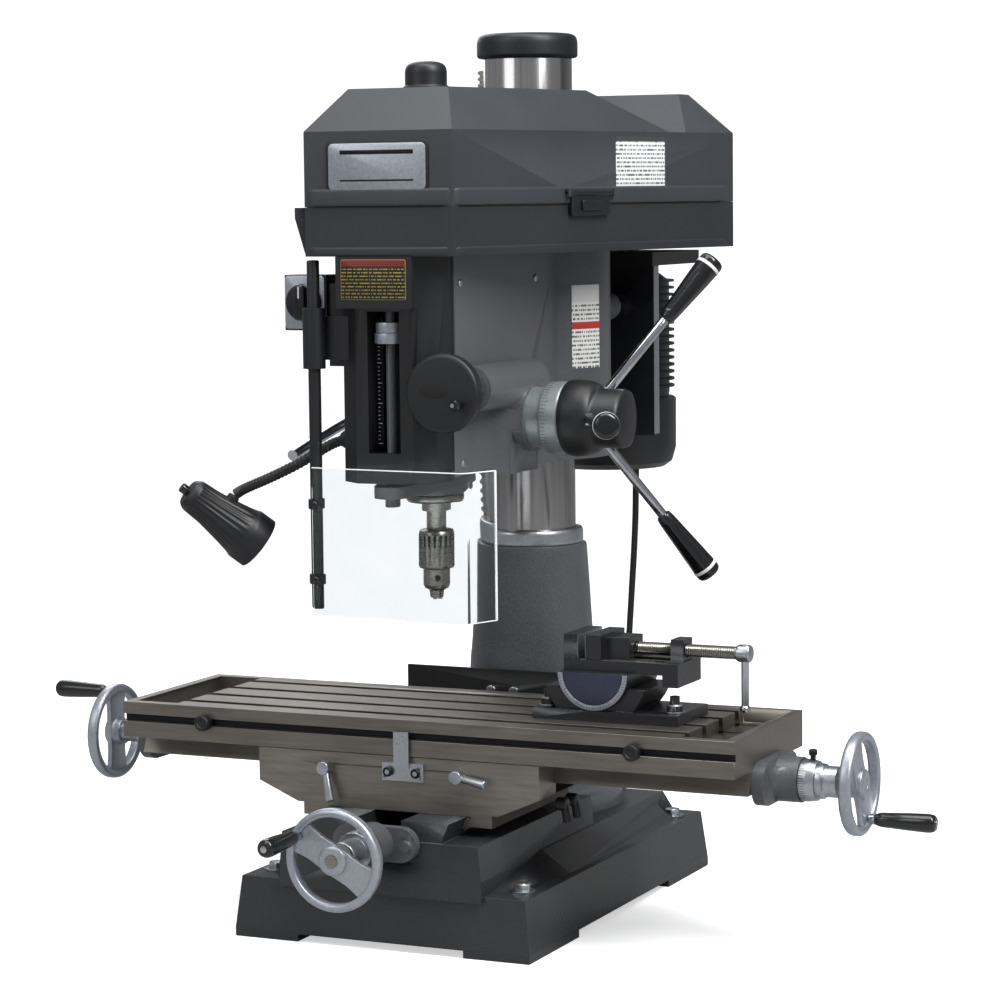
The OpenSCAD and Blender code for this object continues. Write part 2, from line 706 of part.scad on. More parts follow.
module drill_chuck() color("#9da0a3") difference() {
    translate([0, spindle_y, 0]) rotate_extrude() polygon([[2.5, nose_z], [7, nose_z + 1],
        [8, nose_z + 11], [14.5, nose_z + 13], [16.3, nose_z + 16], [16.3, nose_z + 34],
        [21.6, nose_z + 35], [22, nose_z + 38], [22, nose_z + 72], [20, nose_z + 77], [12, nose_z + 77],
        [2.5, nose_z + 77]]);
    for (a = [0 : 120 : 240]) translate([14 * cos(a), spindle_y + 14 * sin(a), nose_z + 24])
        rotate([0, 90, a]) cylinder(r = 3.5, h = 6);
}

// ---------- quill feed ----------

module capstan_hub() {
    color("#8c9496") difference() {
        union() {
            rod_x([112.3, capstan_y, capstan_z], 37, 24);
            rod_x([132, capstan_y, capstan_z], 44, 26);
        }
        rod_x([100, capstan_y, capstan_z], 14, 70);
    }
    color("#17181a") {
        translate([158, capstan_y, capstan_z]) rotate([0, 90, 0]) rotate_extrude() polygon([[0, 0], [46, 0],
            [47, 12], [43, 34], [37, 44], [37, 70], [33, 74], [0, 75]]);
    }
    color("#8c9496") {
        rod_x([-40, capstan_y, capstan_z], 14, 200);
        rod_x([-13.5, capstan_y, capstan_z], 19, 27);
        rod_x([72, capstan_y, capstan_z], 30, 20);
    }
}

module feed_levers() for (k = [0 : 2])
    translate([177, capstan_y, capstan_z]) rotate([60 - lever_turn + 120 * k - 90, 0, 0])
        rotate([0, lever_lean, 0]) {
            color("#c8cacd") translate([0, 0, 30]) cylinder(r = 6, h = lever_l - 104);
            color("#1b1c1e") translate([0, 0, lever_l - 98]) rotate_extrude() polygon([[0, 0], [9, 0],
                [11, 12], [14.5, 62], [15.5, 90], [13.5, 96], [0, 98]]);
        }

module fine_feed_wheel() {
    color("#1c1d1f") difference() {
        translate([worm_x, -280, worm_z]) rotate([-90, 0, 0]) rotate_extrude($fn = 96) polygon([[0, 0],
            [44, 0], [47, 4], [47, 15], [44, 19], [0, 19]]);
        hull() for (a = [0, 1]) rod_y([worm_x - 22 + 26 * a, -281, worm_z + 4 - 4 * a], 8 - 2 * a, 12);
    }
    color("#1c1d1f") rod_y([worm_x + 25, -302, worm_z - 12], 6, 23);
    color("#c2c4c4") rod_y([worm_x, -262, worm_z], 24, 60.7);
    color("#8c9496") {
        rod_y([worm_x, -262, worm_z], 7, 201);
        rod_y([worm_x, capstan_y - 16, worm_z], 9.5, 32);
    }
}

module switch_knob() color("#17181a") {
    rod_y([-127, -218, 767], 4, 17);
    difference() {
        rod_y([-127, -233, 767], 23, 17.7);
        for (s = [-1, 1]) translate([-127, -225, 767]) block([min(8 * s, 30 * s), -10, -30],
            [max(8 * s, 30 * s), 0, 30]);
    }
}

// ---------- guard ----------

module guard_rod() color("#17181a") rod_z([guard_x, guard_y, 402], 7.5, 417);

// Clear folded screen on two collars of the rod
module chip_guard() color([0.9, 0.93, 0.95, 0.4]) {
    t = 1.5;
    low = 396;
    outline = [[guard_x, guard_y - 10.3], [-57, -276], [116, -290], [134, -240]];
    for (i = [0 : 2]) hull() for (p = [outline[i], outline[i + 1]])
        translate([p[0], p[1], low]) cylinder(r = t, h = 176, $fn = 12);
    for (z = [438, 528]) difference() {
        rod_z([guard_x, guard_y, z - 6], 10, 12);
        rod_z([guard_x, guard_y, z - 7], 7.5 + fit, 14);
    }
}

// ---------- lamp ----------

// Lamp axes run from the switch end to the mouth
lamp_rear = [-255, -291, 543];
lamp_mouth = [-188, -232, 474];
lamp_dir = unit(lamp_mouth - lamp_rear);
lamp_len = norm(lamp_mouth - lamp_rear);
// Foot of the swivel boss on the lamp's axis, and the way from there to the neck
lamp_foot = [-223.7, -263.4, 510.7];
lamp_up = unit([-205, -255, 536] - lamp_foot);

module on_lamp() translate(lamp_rear)
    rotate([0, acos(lamp_dir[2]), atan2(lamp_dir[1], lamp_dir[0])]) children();

module lamp_shade() color("#151618") {
    translate(lamp_foot + 20 * lamp_up)
      rotate([0, acos(lamp_up[2]), atan2(lamp_up[1], lamp_up[0])]) cylinder(r = 7, h = 9.4);
    on_lamp() {
      difference() {
          rotate_extrude() polygon([[0, 4], [17, 4], [21, 10], [23, 40], [28, 70], [33, lamp_len], [0, lamp_len]]);
          translate([0, 0, 14]) rotate_extrude() polygon([[0, 40], [20, 40], [25, 60], [30.5, lamp_len], [0, lamp_len]]);
          translate([0, 0, -1]) cylinder(r = 6 + fit, h = 14);
      }
      translate([0, 0, 30]) cylinder(r = 12, h = 30);
      translate([0, 0, 60]) sphere(r = 17);
    }
}

module lamp_button() color("#7d8082") on_lamp() translate([0, 0, -6]) cylinder(r = 6, h = 16);

// ---------- tilting vise ----------

// Cradle of the tilting body on a plate, held by two bolts in a T-slot
module vise_base() color("#202124") {
    difference() {
        union() {
            block([vise_x - 78, vise_y - 50, table_top], [vise_x + 108, vise_y + 50, table_top + 13]);
            intersection() {
                rod_y([vise_x, vise_y - 44, vise_z], 66, 88);
                block([vise_x - 66, vise_y - 45, table_top], [vise_x + 66, vise_y + 45, vise_z - 18]);
            }
        }
        rod_y([vise_x, vise_y - 51, vise_z], vise_r + 0.1, 102);
    }
    for (x = [vise_x - 66, vise_x + 96]) {
        rod_z([x, vise_y - slot_pitch / 2, table_top + 13], 10, 9);
        rod_z([x, vise_y - slot_pitch / 2, table_top - 25], 6, 58);
        rod_z([x, vise_y - slot_pitch / 2, table_top - 26], 10, 8);
    }
}

// Half disc with the bed, the fixed jaw and the screw's nut
module vise_body() color("#2b2c33") difference() {
    union() {
        intersection() {
            rod_y([vise_x, vise_y - 50, vise_z], vise_r, 100);
            block([vise_x - 50, vise_y - 51, vise_z - 50], [vise_x + 50, vise_y + 51, vise_z + 0.5]);
        }
        for (y = [vise_y - 38, vise_y + 8]) block([vise_x - 42, y, vise_z], [vise_x + 104, y + 30, vise_z + 14]);
        block([vise_x - 42, vise_y - 37.5, vise_z + 13], [vise_x - 24, vise_y + 37.5, vise_z + 44]);
        block([vise_x + 84, vise_y - 38, vise_z - 14], [vise_x + 104, vise_y + 38, vise_z + 14]);
        block([vise_x + 86, vise_y - 15, vise_z + 10], [vise_x + 102, vise_y + 15, vise_z + 40]);
    }
    rod_x([vise_x + 80, vise_y, vise_z + 26], 8 + gap, 40);
}

module vise_jaw() color("#26272c") difference() {
    union() {
        block([vise_x - 14, vise_y - 37.5, vise_z + 14.3], [vise_x + 6, vise_y + 37.5, vise_z + 44]);
        block([vise_x + 6, vise_y - 22, vise_z + 14.3], [vise_x + 36, vise_y + 22, vise_z + 40]);
    }
    rod_x([vise_x + 16, vise_y, vise_z + 26], 8 + fit, 30);
}

module vise_screw() color("#b9bbbc") {
    rod_x([vise_x + 16.2, vise_y, vise_z + 26], 8, 158);
    rod_x([vise_x + 166, vise_y, vise_z + 26], 10, 16);
    rod_z([vise_x + 174, vise_y, vise_z - 44], 5, 80);
}

// ---------- power cord ----------

module cord_gland() color("#141517") {
    rod_z([-6, 545, 594], 6.5, 12);
    translate([-6, 545, 560]) cylinder(r1 = 5.4, r2 = 9, h = 34);
}

module power_cord() color("#151617") swept_tube(cord_route, cord_d/2, 8, [1, 0.35, 0.1]);

module cord_coil() color("#151617") translate([coil_x, coil_y, 0]) rotate_extrude()
    translate([coil_r - cord_d - 1, 0]) square([2 * cord_d + 2, 2 * cord_d + 1]);

module power_plug() color("#151617") {
    swept_tube(tail_route, cord_d/2, 8, [0, 0, 1]);
    translate([-10.3, 424.5, 0]) rotate([0, 0, 30]) {
        block([0, -9, 2], [14, 9, 21]);
        block([12, -15, 0.5], [30, 15, 24.5]);
        for (y = [-6.5, 6.5]) block([29, y - 0.8, 10], [48, y + 0.8, 16]);
    }
}

base_casting();
column_stand();
stand_bolts();
column_tube();
column_ring();
column_cap();
way_cover();
y_bearing();
saddle();
gib_strips();
x_lock_left();
x_lock_right();
stop_bracket();
y_lock_front();
y_lock_rear();
table();
x_bearings();
table_stop_left();
table_stop_right();
x_leadscrew();
x_handwheels();
y_leadscrew();
y_handwheel();
elevating_rack();
head_casting();
front_housing();
belt_pan();
v_belts();
motor();
motor_bracket();
switch_box();
lamp_neck();
spindle_pulley();
idler_pulley();
motor_pulley();
belt_lid();
drawbar_cap();
lid_latch();
elevating_crank();
quill();
depth_bracket();
depth_nut();
spindle();
drill_chuck();
capstan_hub();
feed_levers();
fine_feed_wheel();
switch_knob();
guard_rod();
chip_guard();
lamp_shade();
lamp_button();
vise_base();
vise_body();
vise_jaw();
vise_screw();
cord_gland();
power_cord();
cord_coil();
power_plug();
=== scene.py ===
# %% [markdown]
# # Benchtop mill and drill
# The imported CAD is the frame: its places, joints and sizes are fixed. This lesson builds the looks
# round it, from the camera and the power cord to the last screw. All lengths below are in millimetres
# until the last step of making a mesh, which turns them into metres.

# %% Load the frame
import json
import math
import bmesh
import bpy
import numpy as np
from mathutils import Matrix, Vector

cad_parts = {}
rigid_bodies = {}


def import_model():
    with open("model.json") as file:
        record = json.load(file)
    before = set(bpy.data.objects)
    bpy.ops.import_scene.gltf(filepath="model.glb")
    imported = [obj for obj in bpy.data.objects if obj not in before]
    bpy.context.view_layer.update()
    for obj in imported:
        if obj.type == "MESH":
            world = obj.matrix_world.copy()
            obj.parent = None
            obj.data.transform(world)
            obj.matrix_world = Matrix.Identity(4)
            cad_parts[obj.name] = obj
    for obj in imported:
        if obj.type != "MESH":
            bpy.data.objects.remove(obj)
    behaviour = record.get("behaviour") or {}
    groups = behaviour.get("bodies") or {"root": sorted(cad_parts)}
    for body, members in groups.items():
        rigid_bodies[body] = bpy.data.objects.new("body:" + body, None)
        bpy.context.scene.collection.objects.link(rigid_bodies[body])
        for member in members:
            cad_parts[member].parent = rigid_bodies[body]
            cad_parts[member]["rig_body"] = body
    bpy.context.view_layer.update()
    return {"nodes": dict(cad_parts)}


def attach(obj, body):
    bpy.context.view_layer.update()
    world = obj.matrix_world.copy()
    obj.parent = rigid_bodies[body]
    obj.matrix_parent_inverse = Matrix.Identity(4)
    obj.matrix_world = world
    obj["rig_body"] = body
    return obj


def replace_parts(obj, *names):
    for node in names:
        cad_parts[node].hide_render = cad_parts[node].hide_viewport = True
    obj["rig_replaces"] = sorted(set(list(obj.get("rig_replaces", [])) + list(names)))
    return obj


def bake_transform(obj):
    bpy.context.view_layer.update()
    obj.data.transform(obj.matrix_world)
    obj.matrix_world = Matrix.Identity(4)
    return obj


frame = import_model()
body_of_node = {n: o["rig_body"] for n, o in frame["nodes"].items()}

# %% [markdown]
# ## Sizes shared with the CAD
# These are the places that more than one piece needs.

# %% Sizes
COL_Y = 165.0
SPINDLE_Y = -122.0
NOSE_Z = 408.0
TABLE = dict(x0=-378.0, x1=432.0, y0=-244.0, y1=-6.0, y=-125.0, top=270.0)
SCREW_X_Z = 208.5
SCREW_Y_Z = 131.0
MOTOR_Y = 433.0
CAPSTAN = np.array([0.0, -70.0, 623.0])
WORM = (84.0, 664.0)
VISE = np.array([228.0, -125.0, 328.0])
X, Y, Z = np.eye(3)
WALL = math.atan2(133, 574)
WALL_OUT = np.array([math.cos(WALL), -math.sin(WALL), 0])
WALL_ALONG = np.array([math.sin(WALL), math.cos(WALL), 0])

# %% [markdown]
# ## The camera
# A long lens from a little above the lid, a third of the way round to the machine's right side.

# %% Camera
CAMERA_AT = (1.65808, -3.55539, 0.89680)
turn, dip, roll = 0.4294, 0.0981, -0.0108
right = np.array([math.cos(turn), math.sin(turn), 0])
ahead = np.array([-math.sin(turn) * math.cos(dip), math.cos(turn) * math.cos(dip), -math.sin(dip)])
up = np.cross(right, ahead)
side = math.cos(roll) * right + math.sin(roll) * up
top = -math.sin(roll) * right + math.cos(roll) * up
camera = bpy.data.objects.new("camera", bpy.data.cameras.new("camera"))
bpy.context.scene.collection.objects.link(camera)
rows = [[side[i], top[i], -ahead[i], CAMERA_AT[i]] for i in range(3)]
camera.matrix_world = Matrix(rows + [[0, 0, 0, 1]])
camera.data.lens = 112.63
camera.data.sensor_width = 36
bpy.context.scene.camera = camera
print("camera at", [round(v, 3) for v in camera.location])

# %% [markdown]
# ## Shapes from formulas
# Every new piece is one of a few families: a ring of points carried along a path (`loft`), a profile
# turned about an axis (`lathe`), an outline with rounded edges (`prism`), and a round tube along a
# line (`tube`). Each gives points and faces as arrays.


# %% Shape helpers
def soften(points, radius, steps=5, closed=True):
    """Corners rounded: each corner C becomes the curve (1-s)^2 A + 2s(1-s) C + s^2 B, where A and B lie
    `radius` away along its two edges (at most 0.48 of an edge)."""
    p = np.asarray(points, float)
    r = np.broadcast_to(np.asarray(radius, float), len(p)).copy()
    back, on = np.roll(p, 1, 0) - p, np.roll(p, -1, 0) - p
    if not closed:
        r[0] = r[-1] = 0
    lb, lo = np.linalg.norm(back, axis=1), np.linalg.norm(on, axis=1)
    ta = np.minimum(r, 0.48 * lb) / np.maximum(lb, 1e-9)
    tb = np.minimum(r, 0.48 * lo) / np.maximum(lo, 1e-9)
    a, b = p + back * ta[:, None], p + on * tb[:, None]
    s = np.linspace(0, 1, steps)[None, :, None]
    q = (1 - s) ** 2 * a[:, None] + 2 * s * (1 - s) * p[:, None] + s ** 2 * b[:, None]
    q = q.reshape(-1, p.shape[1])
    keep = np.linalg.norm(q - np.roll(q, 1, 0), axis=1) > 1e-6
    keep[0] = True
    return q[keep]


def smooth_line(points, n):
    """n points along a Catmull-Rom curve through the given ones."""
    p = np.asarray(points, float)
    e = np.vstack([2 * p[0] - p[1], p, 2 * p[-1] - p[-2]])
    t = np.linspace(0, len(p) - 1, n)
    i = np.minimum(t.astype(int), len(p) - 2)
    s = (t - i)[:, None]
    a, b, c, d = e[i], e[i + 1], e[i + 2], e[i + 3]
    square, cube = 2 * a - 5 * b + 4 * c - d, 3 * b - a - 3 * c + d
    return 0.5 * (2 * b + (c - a) * s + square * s ** 2 + cube * s ** 3)


def loft(rings, loop=False):
    """Rings of n points each, joined in order by four-sided faces. Ends are closed flat, or with `loop`
    the last ring joins the first."""
    rings = np.asarray(rings, float)
    m, n = rings.shape[:2]
    i = np.arange(m if loop else m - 1)[:, None]
    k = np.arange(n)[None, :]
    a, b = i * n + k, i * n + (k + 1) % n
    c, d = ((i + 1) % m) * n + (k + 1) % n, ((i + 1) % m) * n + k
    faces = np.stack([a, b, c, d], -1).reshape(-1, 4).tolist()
    if not loop:
        faces += [list(range(n))[::-1], list(range((m - 1) * n, m * n))]
    return rings.reshape(-1, 3), faces


def frame_of(axis):
    """Two directions square to an axis."""
    axis = np.asarray(axis, float) / np.linalg.norm(axis)
    ref = Z if abs(axis[2]) < 0.9 else X
    u = np.cross(ref, axis)
    u /= np.linalg.norm(u)
    return u, np.cross(axis, u), axis


def lathe(profile, at=(0, 0, 0), axis=Z, n=64, loop=False, ribs=0, depth=0.0, rows=None):
    """Profile points (r, h) turned about an axis: at + h*axis + r*(cos t*u + sin t*v). With ribs, r is
    less by depth*(1 + cos(ribs*t))/2 on the profile's rows."""
    p = np.asarray(profile, float)
    if not loop:
        p = p[p[:, 0] > 1e-6]
    t = np.linspace(0, 2 * math.pi, n, endpoint=False)
    low, high = rows or (1, 0)
    cut = np.where((p[:, 1] >= low) & (p[:, 1] <= high), depth, 0.0)
    r = p[:, 0, None] - cut[:, None] * (1 + np.cos(ribs * t))[None, :] / 2
    u, v, w = frame_of(axis)
    ring = r[..., None] * (np.cos(t)[None, :, None] * u + np.sin(t)[None, :, None] * v)
    return loft(np.asarray(at, float) + ring + p[:, 1, None, None] * w, loop)


def peg(radius, low, high, at=(0, 0, 0), axis=Z, n=40, edge=1.0, steps=3):
    """A cylinder from low to high along an axis, with rims rounded by `edge`. At 0 they stay sharp."""
    p = [[0, low], [radius, low], [radius, high], [0, high]]
    return lathe(soften(p, edge, steps, False) if edge else p, at, axis, n)


def hoop(inner, outer, low, high, at=(0, 0, 0), axis=Z, n=40, edge=1.0, steps=3):
    """A ring with a square section and rounded edges, turned about an axis."""
    p = [[inner, low], [outer, low], [outer, high], [inner, high]]
    return lathe(soften(p, edge, steps), at, axis, n, loop=True)


def round_about(angle):
    """The unit direction at an angle round Z."""
    return np.array([math.cos(angle), math.sin(angle), 0])


def outward(outline):
    """Unit normals of a closed outline's points, pointing out for either direction round it."""
    p = np.asarray(outline, float)
    d = np.roll(p, -1, 0) - np.roll(p, 1, 0)
    nrm = np.stack([d[:, 1], -d[:, 0]], 1) / np.maximum(np.linalg.norm(d, axis=1), 1e-9)[:, None]
    area = np.sum(p[:, 0] * np.roll(p[:, 1], -1) - np.roll(p[:, 0], -1) * p[:, 1])
    return nrm if area > 0 else -nrm


def prism(outline, low, high, edge=1.0, at=(0, 0, 0), x=X, y=Y, steps=4):
    """An outline in the plane of x and y, from low to high along x cross y. Its rims are quarter rounds:
    inset edge*(1 - sin t), height edge*(1 - cos t)."""
    p = np.asarray(outline, float)
    nrm = outward(p)
    t = np.linspace(0, math.pi / 2, steps)
    inset = np.r_[edge * (1 - np.sin(t)), edge * (1 - np.sin(t[::-1]))]
    h = np.r_[low + edge * (1 - np.cos(t)), high - edge * (1 - np.cos(t[::-1]))]
    flat = p[None] - inset[:, None, None] * nrm[None]
    x, y = np.asarray(x, float), np.asarray(y, float)
    w = np.cross(x, y)
    return loft(np.asarray(at, float) + flat[..., :1] * x + flat[..., 1:] * y + h[:, None, None] * w)


def rect(w, h, radius=2.0, cx=0.0, cy=0.0):
    """A rectangle w by h round (cx, cy) with rounded corners."""
    return soften([[cx - w / 2, cy - h / 2], [cx + w / 2, cy - h / 2], [cx + w / 2, cy + h / 2],
                   [cx - w / 2, cy + h / 2]], radius)


def slab(low, high, edge=1.0, corner=2.0):
    """A box between two corners with rounded edges."""
    low, high = np.asarray(low, float), np.asarray(high, float)
    c, d = (low + high) / 2, high - low
    return prism(rect(d[0], d[1], corner, c[0], c[1]), low[2], high[2], edge)


def tube(path, radius, n=16):
    """A circle carried along a path, square to it: p + r*(cos t*u + sin t*v). From point to point u only
    loses its part along the new direction, so that the tube never twists."""
    p = np.asarray(path, float)
    d = np.gradient(p, axis=0)
    d /= np.linalg.norm(d, axis=1)[:, None]
    u = np.zeros_like(d)
    last = frame_of(d[0])[0]
    for i, along in enumerate(d):
        last = last - along * (last @ along)
        last /= np.linalg.norm(last)
        u[i] = last
    v = np.cross(d, u)
    t = np.linspace(0, 2 * math.pi, n, endpoint=False)
    r = np.broadcast_to(np.asarray(radius, float), len(p))
    ring = np.cos(t)[None, :, None] * u[:, None] + np.sin(t)[None, :, None] * v[:, None]
    return loft(p[:, None] + r[:, None, None] * ring)


def band(outline, section):
    """A closed section of (offset, height) points carried round an outline in the XY plane."""
    p, s = np.asarray(outline, float), np.asarray(section, float)
    flat = p[None] + s[:, 0, None, None] * outward(p)[None]
    heights = np.broadcast_to(s[:, 1, None, None], flat.shape[:2] + (1,))
    return loft(np.concatenate([flat, heights], -1), loop=True)


def joined(*parts):
    """Several points-and-faces pairs as one."""
    verts, faces, base = [], [], 0
    for v, f in parts:
        verts.append(v)
        faces += [[i + base for i in face] for face in f]
        base += len(v)
    return np.concatenate(verts), faces


made = []


def piece(name, shape, body, mat, stands_for=(), sharp=35):
    """A mesh object from points and faces in millimetres, that rides on a body. Faces point outwards."""
    verts, faces = shape
    mesh = bpy.data.meshes.new(name)
    mesh.from_pydata((np.asarray(verts) / 1000).tolist(), [], faces)
    bm = bmesh.new()
    bm.from_mesh(mesh)
    bmesh.ops.recalc_face_normals(bm, faces=bm.faces)
    bm.to_mesh(mesh)
    bm.free()
    mesh.shade_smooth()
    mesh.set_sharp_from_angle(angle=math.radians(sharp))
    obj = bpy.data.objects.new(name, mesh)
    bpy.context.scene.collection.objects.link(obj)
    mesh.materials.append(mat)
    if body:
        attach(obj, body)
    if stands_for:
        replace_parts(obj, *stands_for)
    made.append(name)
    return obj


def softened(node, width, mat, shortest=0.0, segments=3):
    """A CAD node's shape with its loose triangles merged into flat faces and its edges rounded by a
    Bevel modifier `width` wide. Edges shorter than `shortest` stay sharp."""
    name = node + "_soft"
    mesh = frame["nodes"][node].data.copy()
    mesh.name = name
    mesh.materials.clear()
    bm = bmesh.new()
    bm.from_mesh(mesh)
    bmesh.ops.remove_doubles(bm, verts=bm.verts, dist=2e-5)
    bmesh.ops.dissolve_limit(bm, angle_limit=math.radians(1.5), verts=bm.verts, edges=bm.edges)
    bm.to_mesh(mesh)
    bm.free()
    obj = bpy.data.objects.new(name, mesh)
    bpy.context.scene.collection.objects.link(obj)
    weight = mesh.attributes.new("bevel_weight_edge", "FLOAT", "EDGE")
    co = np.zeros(len(mesh.vertices) * 3)
    mesh.vertices.foreach_get("co", co)
    ends = np.zeros(len(mesh.edges) * 2, np.int64)
    mesh.edges.foreach_get("vertices", ends)
    ends, co = ends.reshape(-1, 2), co.reshape(-1, 3)
    length = np.linalg.norm(co[ends[:, 0]] - co[ends[:, 1]], axis=1) * 1000
    mesh.shade_smooth()
    mesh.set_sharp_from_angle(angle=math.radians(28))
    sharp = np.zeros(len(mesh.edges), bool)
    if "sharp_edge" in mesh.attributes:
        mesh.attributes["sharp_edge"].data.foreach_get("value", sharp)
    weight.data.foreach_set("value", (sharp & (length >= shortest)).astype(np.float32))
    bevel = obj.modifiers.new("round edges", "BEVEL")
    bevel.limit_method = "WEIGHT"
    bevel.width = width / 1000
    bevel.segments = segments
    bevel.use_clamp_overlap = True
    bevel.harden_normals = False
    mesh.materials.append(mat)
    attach(obj, body_of_node[node])
    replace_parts(obj, node)
    made.append(name)


print("helpers ready")

# %% [markdown]
# ## Finishes
# Each finish is a small node tree on the object's own coordinates, so that its pattern has a real size.
# Colours are given as they look on a screen and made linear by one function.


# %% Material helpers
def linear(code):
    """An sRGB hex colour in linear light."""
    c = np.array([int(code[i:i + 2], 16) for i in (1, 3, 5)]) / 255
    return tuple(np.where(c <= 0.04045, c / 12.92, ((c + 0.055) / 1.055) ** 2.4)) + (1.0,)


def add(tree, kind, inputs=(), **settings):
    """A node with its settings and inputs: a value sets the socket, a socket is linked to it."""
    node = tree.nodes.new(kind)
    for key, value in settings.items():
        setattr(node, key, value)
    for key, value in dict(inputs).items():
        if isinstance(value, bpy.types.NodeSocket):
            tree.links.new(value, node.inputs[key])
        else:
            node.inputs[key].default_value = value
    return node


def mixed(tree, share, low, high):
    """A colour mix: `low` where share is 0 and `high` where it is 1."""
    return add(tree, "ShaderNodeMix", {0: share, 6: low, 7: high}, data_type="RGBA")


def finish_of(name, light, dark, grain, rough, metallic=0.0, stretch=(1, 1, 1), bump=0.02, cells=0.0,
              coat=0.0, spread=0.5, **more):
    """A finish between two tones. `grain` is the pattern's size in mm, `stretch` lengthens it along an
    axis, `rough` is (least, most), `bump` the relief in mm and `cells` the size of a hammered dimple."""
    mat = bpy.data.materials.new(name)
    mat.use_nodes = True
    tree = mat.node_tree
    shader = tree.nodes["Principled BSDF"]
    place = add(tree, "ShaderNodeTexCoord").outputs["Object"]
    size = add(tree, "ShaderNodeMapping", {"Vector": place, "Scale": [1000 / grain / s for s in stretch]})
    noise = add(tree, "ShaderNodeTexNoise",
                {"Vector": size.outputs[0], "Scale": 1.0, "Detail": 4.0, "Roughness": 0.6})
    broad = add(tree, "ShaderNodeTexNoise", {"Vector": place, "Scale": 9.0, "Detail": 2.0})
    both = add(tree, "ShaderNodeMix", {0: 0.35, 2: noise.outputs["Fac"], 3: broad.outputs["Fac"]})
    tone = add(tree, "ShaderNodeMapRange", {0: both.outputs[0], 1: 0.5 - spread / 2, 2: 0.5 + spread / 2})
    colour = mixed(tree, tone.outputs[0], linear(dark), linear(light))
    tree.links.new(colour.outputs[2], shader.inputs["Base Color"])
    gloss = add(tree, "ShaderNodeMapRange", {0: both.outputs[0], 1: 0.3, 2: 0.7, 3: rough[0], 4: rough[1]})
    tree.links.new(gloss.outputs[0], shader.inputs["Roughness"])
    shader.inputs["Metallic"].default_value = metallic
    shader.inputs["Coat Weight"].default_value = coat
    shader.inputs["Coat Roughness"].default_value = 0.15
    for key, value in more.items():
        shader.inputs[key.replace("_", " ")].default_value = value
    height = noise.outputs["Fac"]
    if cells:
        dimple = add(tree, "ShaderNodeTexVoronoi",
                     {"Vector": place, "Scale": 1000 / cells, "Smoothness": 1.0}, feature="SMOOTH_F1")
        height = dimple.outputs["Distance"]
    relief = add(tree, "ShaderNodeBump", {"Height": height, "Strength": 1.0, "Distance": bump / 1000})
    tree.links.new(relief.outputs[0], shader.inputs["Normal"])
    return mat


# %% [markdown]
# Enamels first. The hammered one on the base has soft dimples about 3 mm wide that break up its
# highlights, and the head's is smoother, with a fine skin.

# %% Paint and plastic
DIMPLED = dict(cells=3.2, bump=0.35, coat=0.15)
HAMMER = finish_of("hammered grey enamel", "#5a5c60", "#3b3d40", 2.5, (0.32, 0.5), **DIMPLED)
# The base's enamel is darker than the stand's: partly its own darker paint, partly painted shade from the
# table above it.
BASE_DARK_AND_SHADED = finish_of("dark hammered enamel and painted shade", "#2f3134", "#1c1e21", 2.5, (0.34, 0.52), **DIMPLED)
HEAD = finish_of("satin grey enamel", "#5a5b5e", "#46474a", 3.0, (0.36, 0.5), cells=2.4, bump=0.12,
                 coat=0.1)
LID = finish_of("textured grey plastic", "#393c40", "#2c2f33", 1.2, (0.42, 0.55), bump=0.05)
PAN = finish_of("dark grey plastic", "#2a2c30", "#202226", 1.2, (0.42, 0.55), bump=0.05)
BLACK = finish_of("satin black plastic", "#17181b", "#0c0d0f", 1.5, (0.38, 0.52), bump=0.03)
GRIP = finish_of("glossy black plastic", "#121315", "#08090a", 4.0, (0.16, 0.26), bump=0.01, coat=0.3)
MOTOR = finish_of("black enamel", "#15161a", "#0b0c0f", 2.0, (0.3, 0.45), cells=2.5, bump=0.08)
RUBBER = finish_of("black rubber", "#151617", "#0b0c0d", 1.0, (0.6, 0.75), bump=0.04)
VISE_BLACK = finish_of("black hammered enamel", "#1d1e23", "#0e0f12", 2.0, (0.28, 0.42), cells=2.6,
                       bump=0.25, coat=0.2)
VISE_BLUE = finish_of("blue hammered enamel", "#2b3350", "#161a2c", 2.0, (0.25, 0.4), cells=2.4,
                      bump=0.3, coat=0.3)

# %% [markdown]
# Metals: ground iron is warm and a little stained, the column carries long bright streaks from its
# grinding, and turned parts have fine rings.

# %% Metals
IRON = finish_of("ground cast iron", "#8d8982", "#5f5b54", 5.0, (0.28, 0.45), 0.85, (14, 1, 1), 0.01,
                 spread=0.7)
SIDE_IRON = finish_of("machined iron sides", "#97928a", "#6b675f", 6.0, (0.3, 0.48), 0.8, (10, 10, 1), 0.01)
COLUMN = finish_of("polished column steel", "#bcbab8", "#77757a", 7.0, (0.12, 0.22), 1.0, (1, 1, 60), 0.004,
                   spread=0.6)
STEEL = finish_of("turned steel", "#a5a39d", "#6d6a64", 1.2, (0.2, 0.34), 1.0, (40, 40, 1), 0.008)
DARK_STEEL = finish_of("blackened steel", "#2a2b2d", "#16171a", 3.0, (0.25, 0.4), 0.7, bump=0.01)
CHROME = finish_of("chrome", "#cfd1d6", "#9c9fa6", 20.0, (0.05, 0.12), 1.0, bump=0.002)
ZINC = finish_of("zinc plate", "#c6cace", "#9ba0a5", 3.0, (0.25, 0.4), 1.0, bump=0.01)
ALLOY = finish_of("satin alloy", "#bcc1c8", "#9096a0", 4.0, (0.3, 0.45), 0.75, bump=0.02)
GREEN_GREY = finish_of("grey green alloy", "#a3aaaa", "#7c8484", 2.0, (0.35, 0.5), 0.6, bump=0.02)
# One dark finish for engraved marks, dark joints and sockets, and for painted shade in holes, grooves and
# recesses.
DARK_MARKS_AND_SHADE = finish_of("dark marks and painted shade", "#0b0c0d", "#050505", 3.0, (0.7, 0.8), bump=0.01)
WHITE = finish_of("white paint", "#eeeeec", "#dcdcda", 3.0, (0.4, 0.5), bump=0.01)
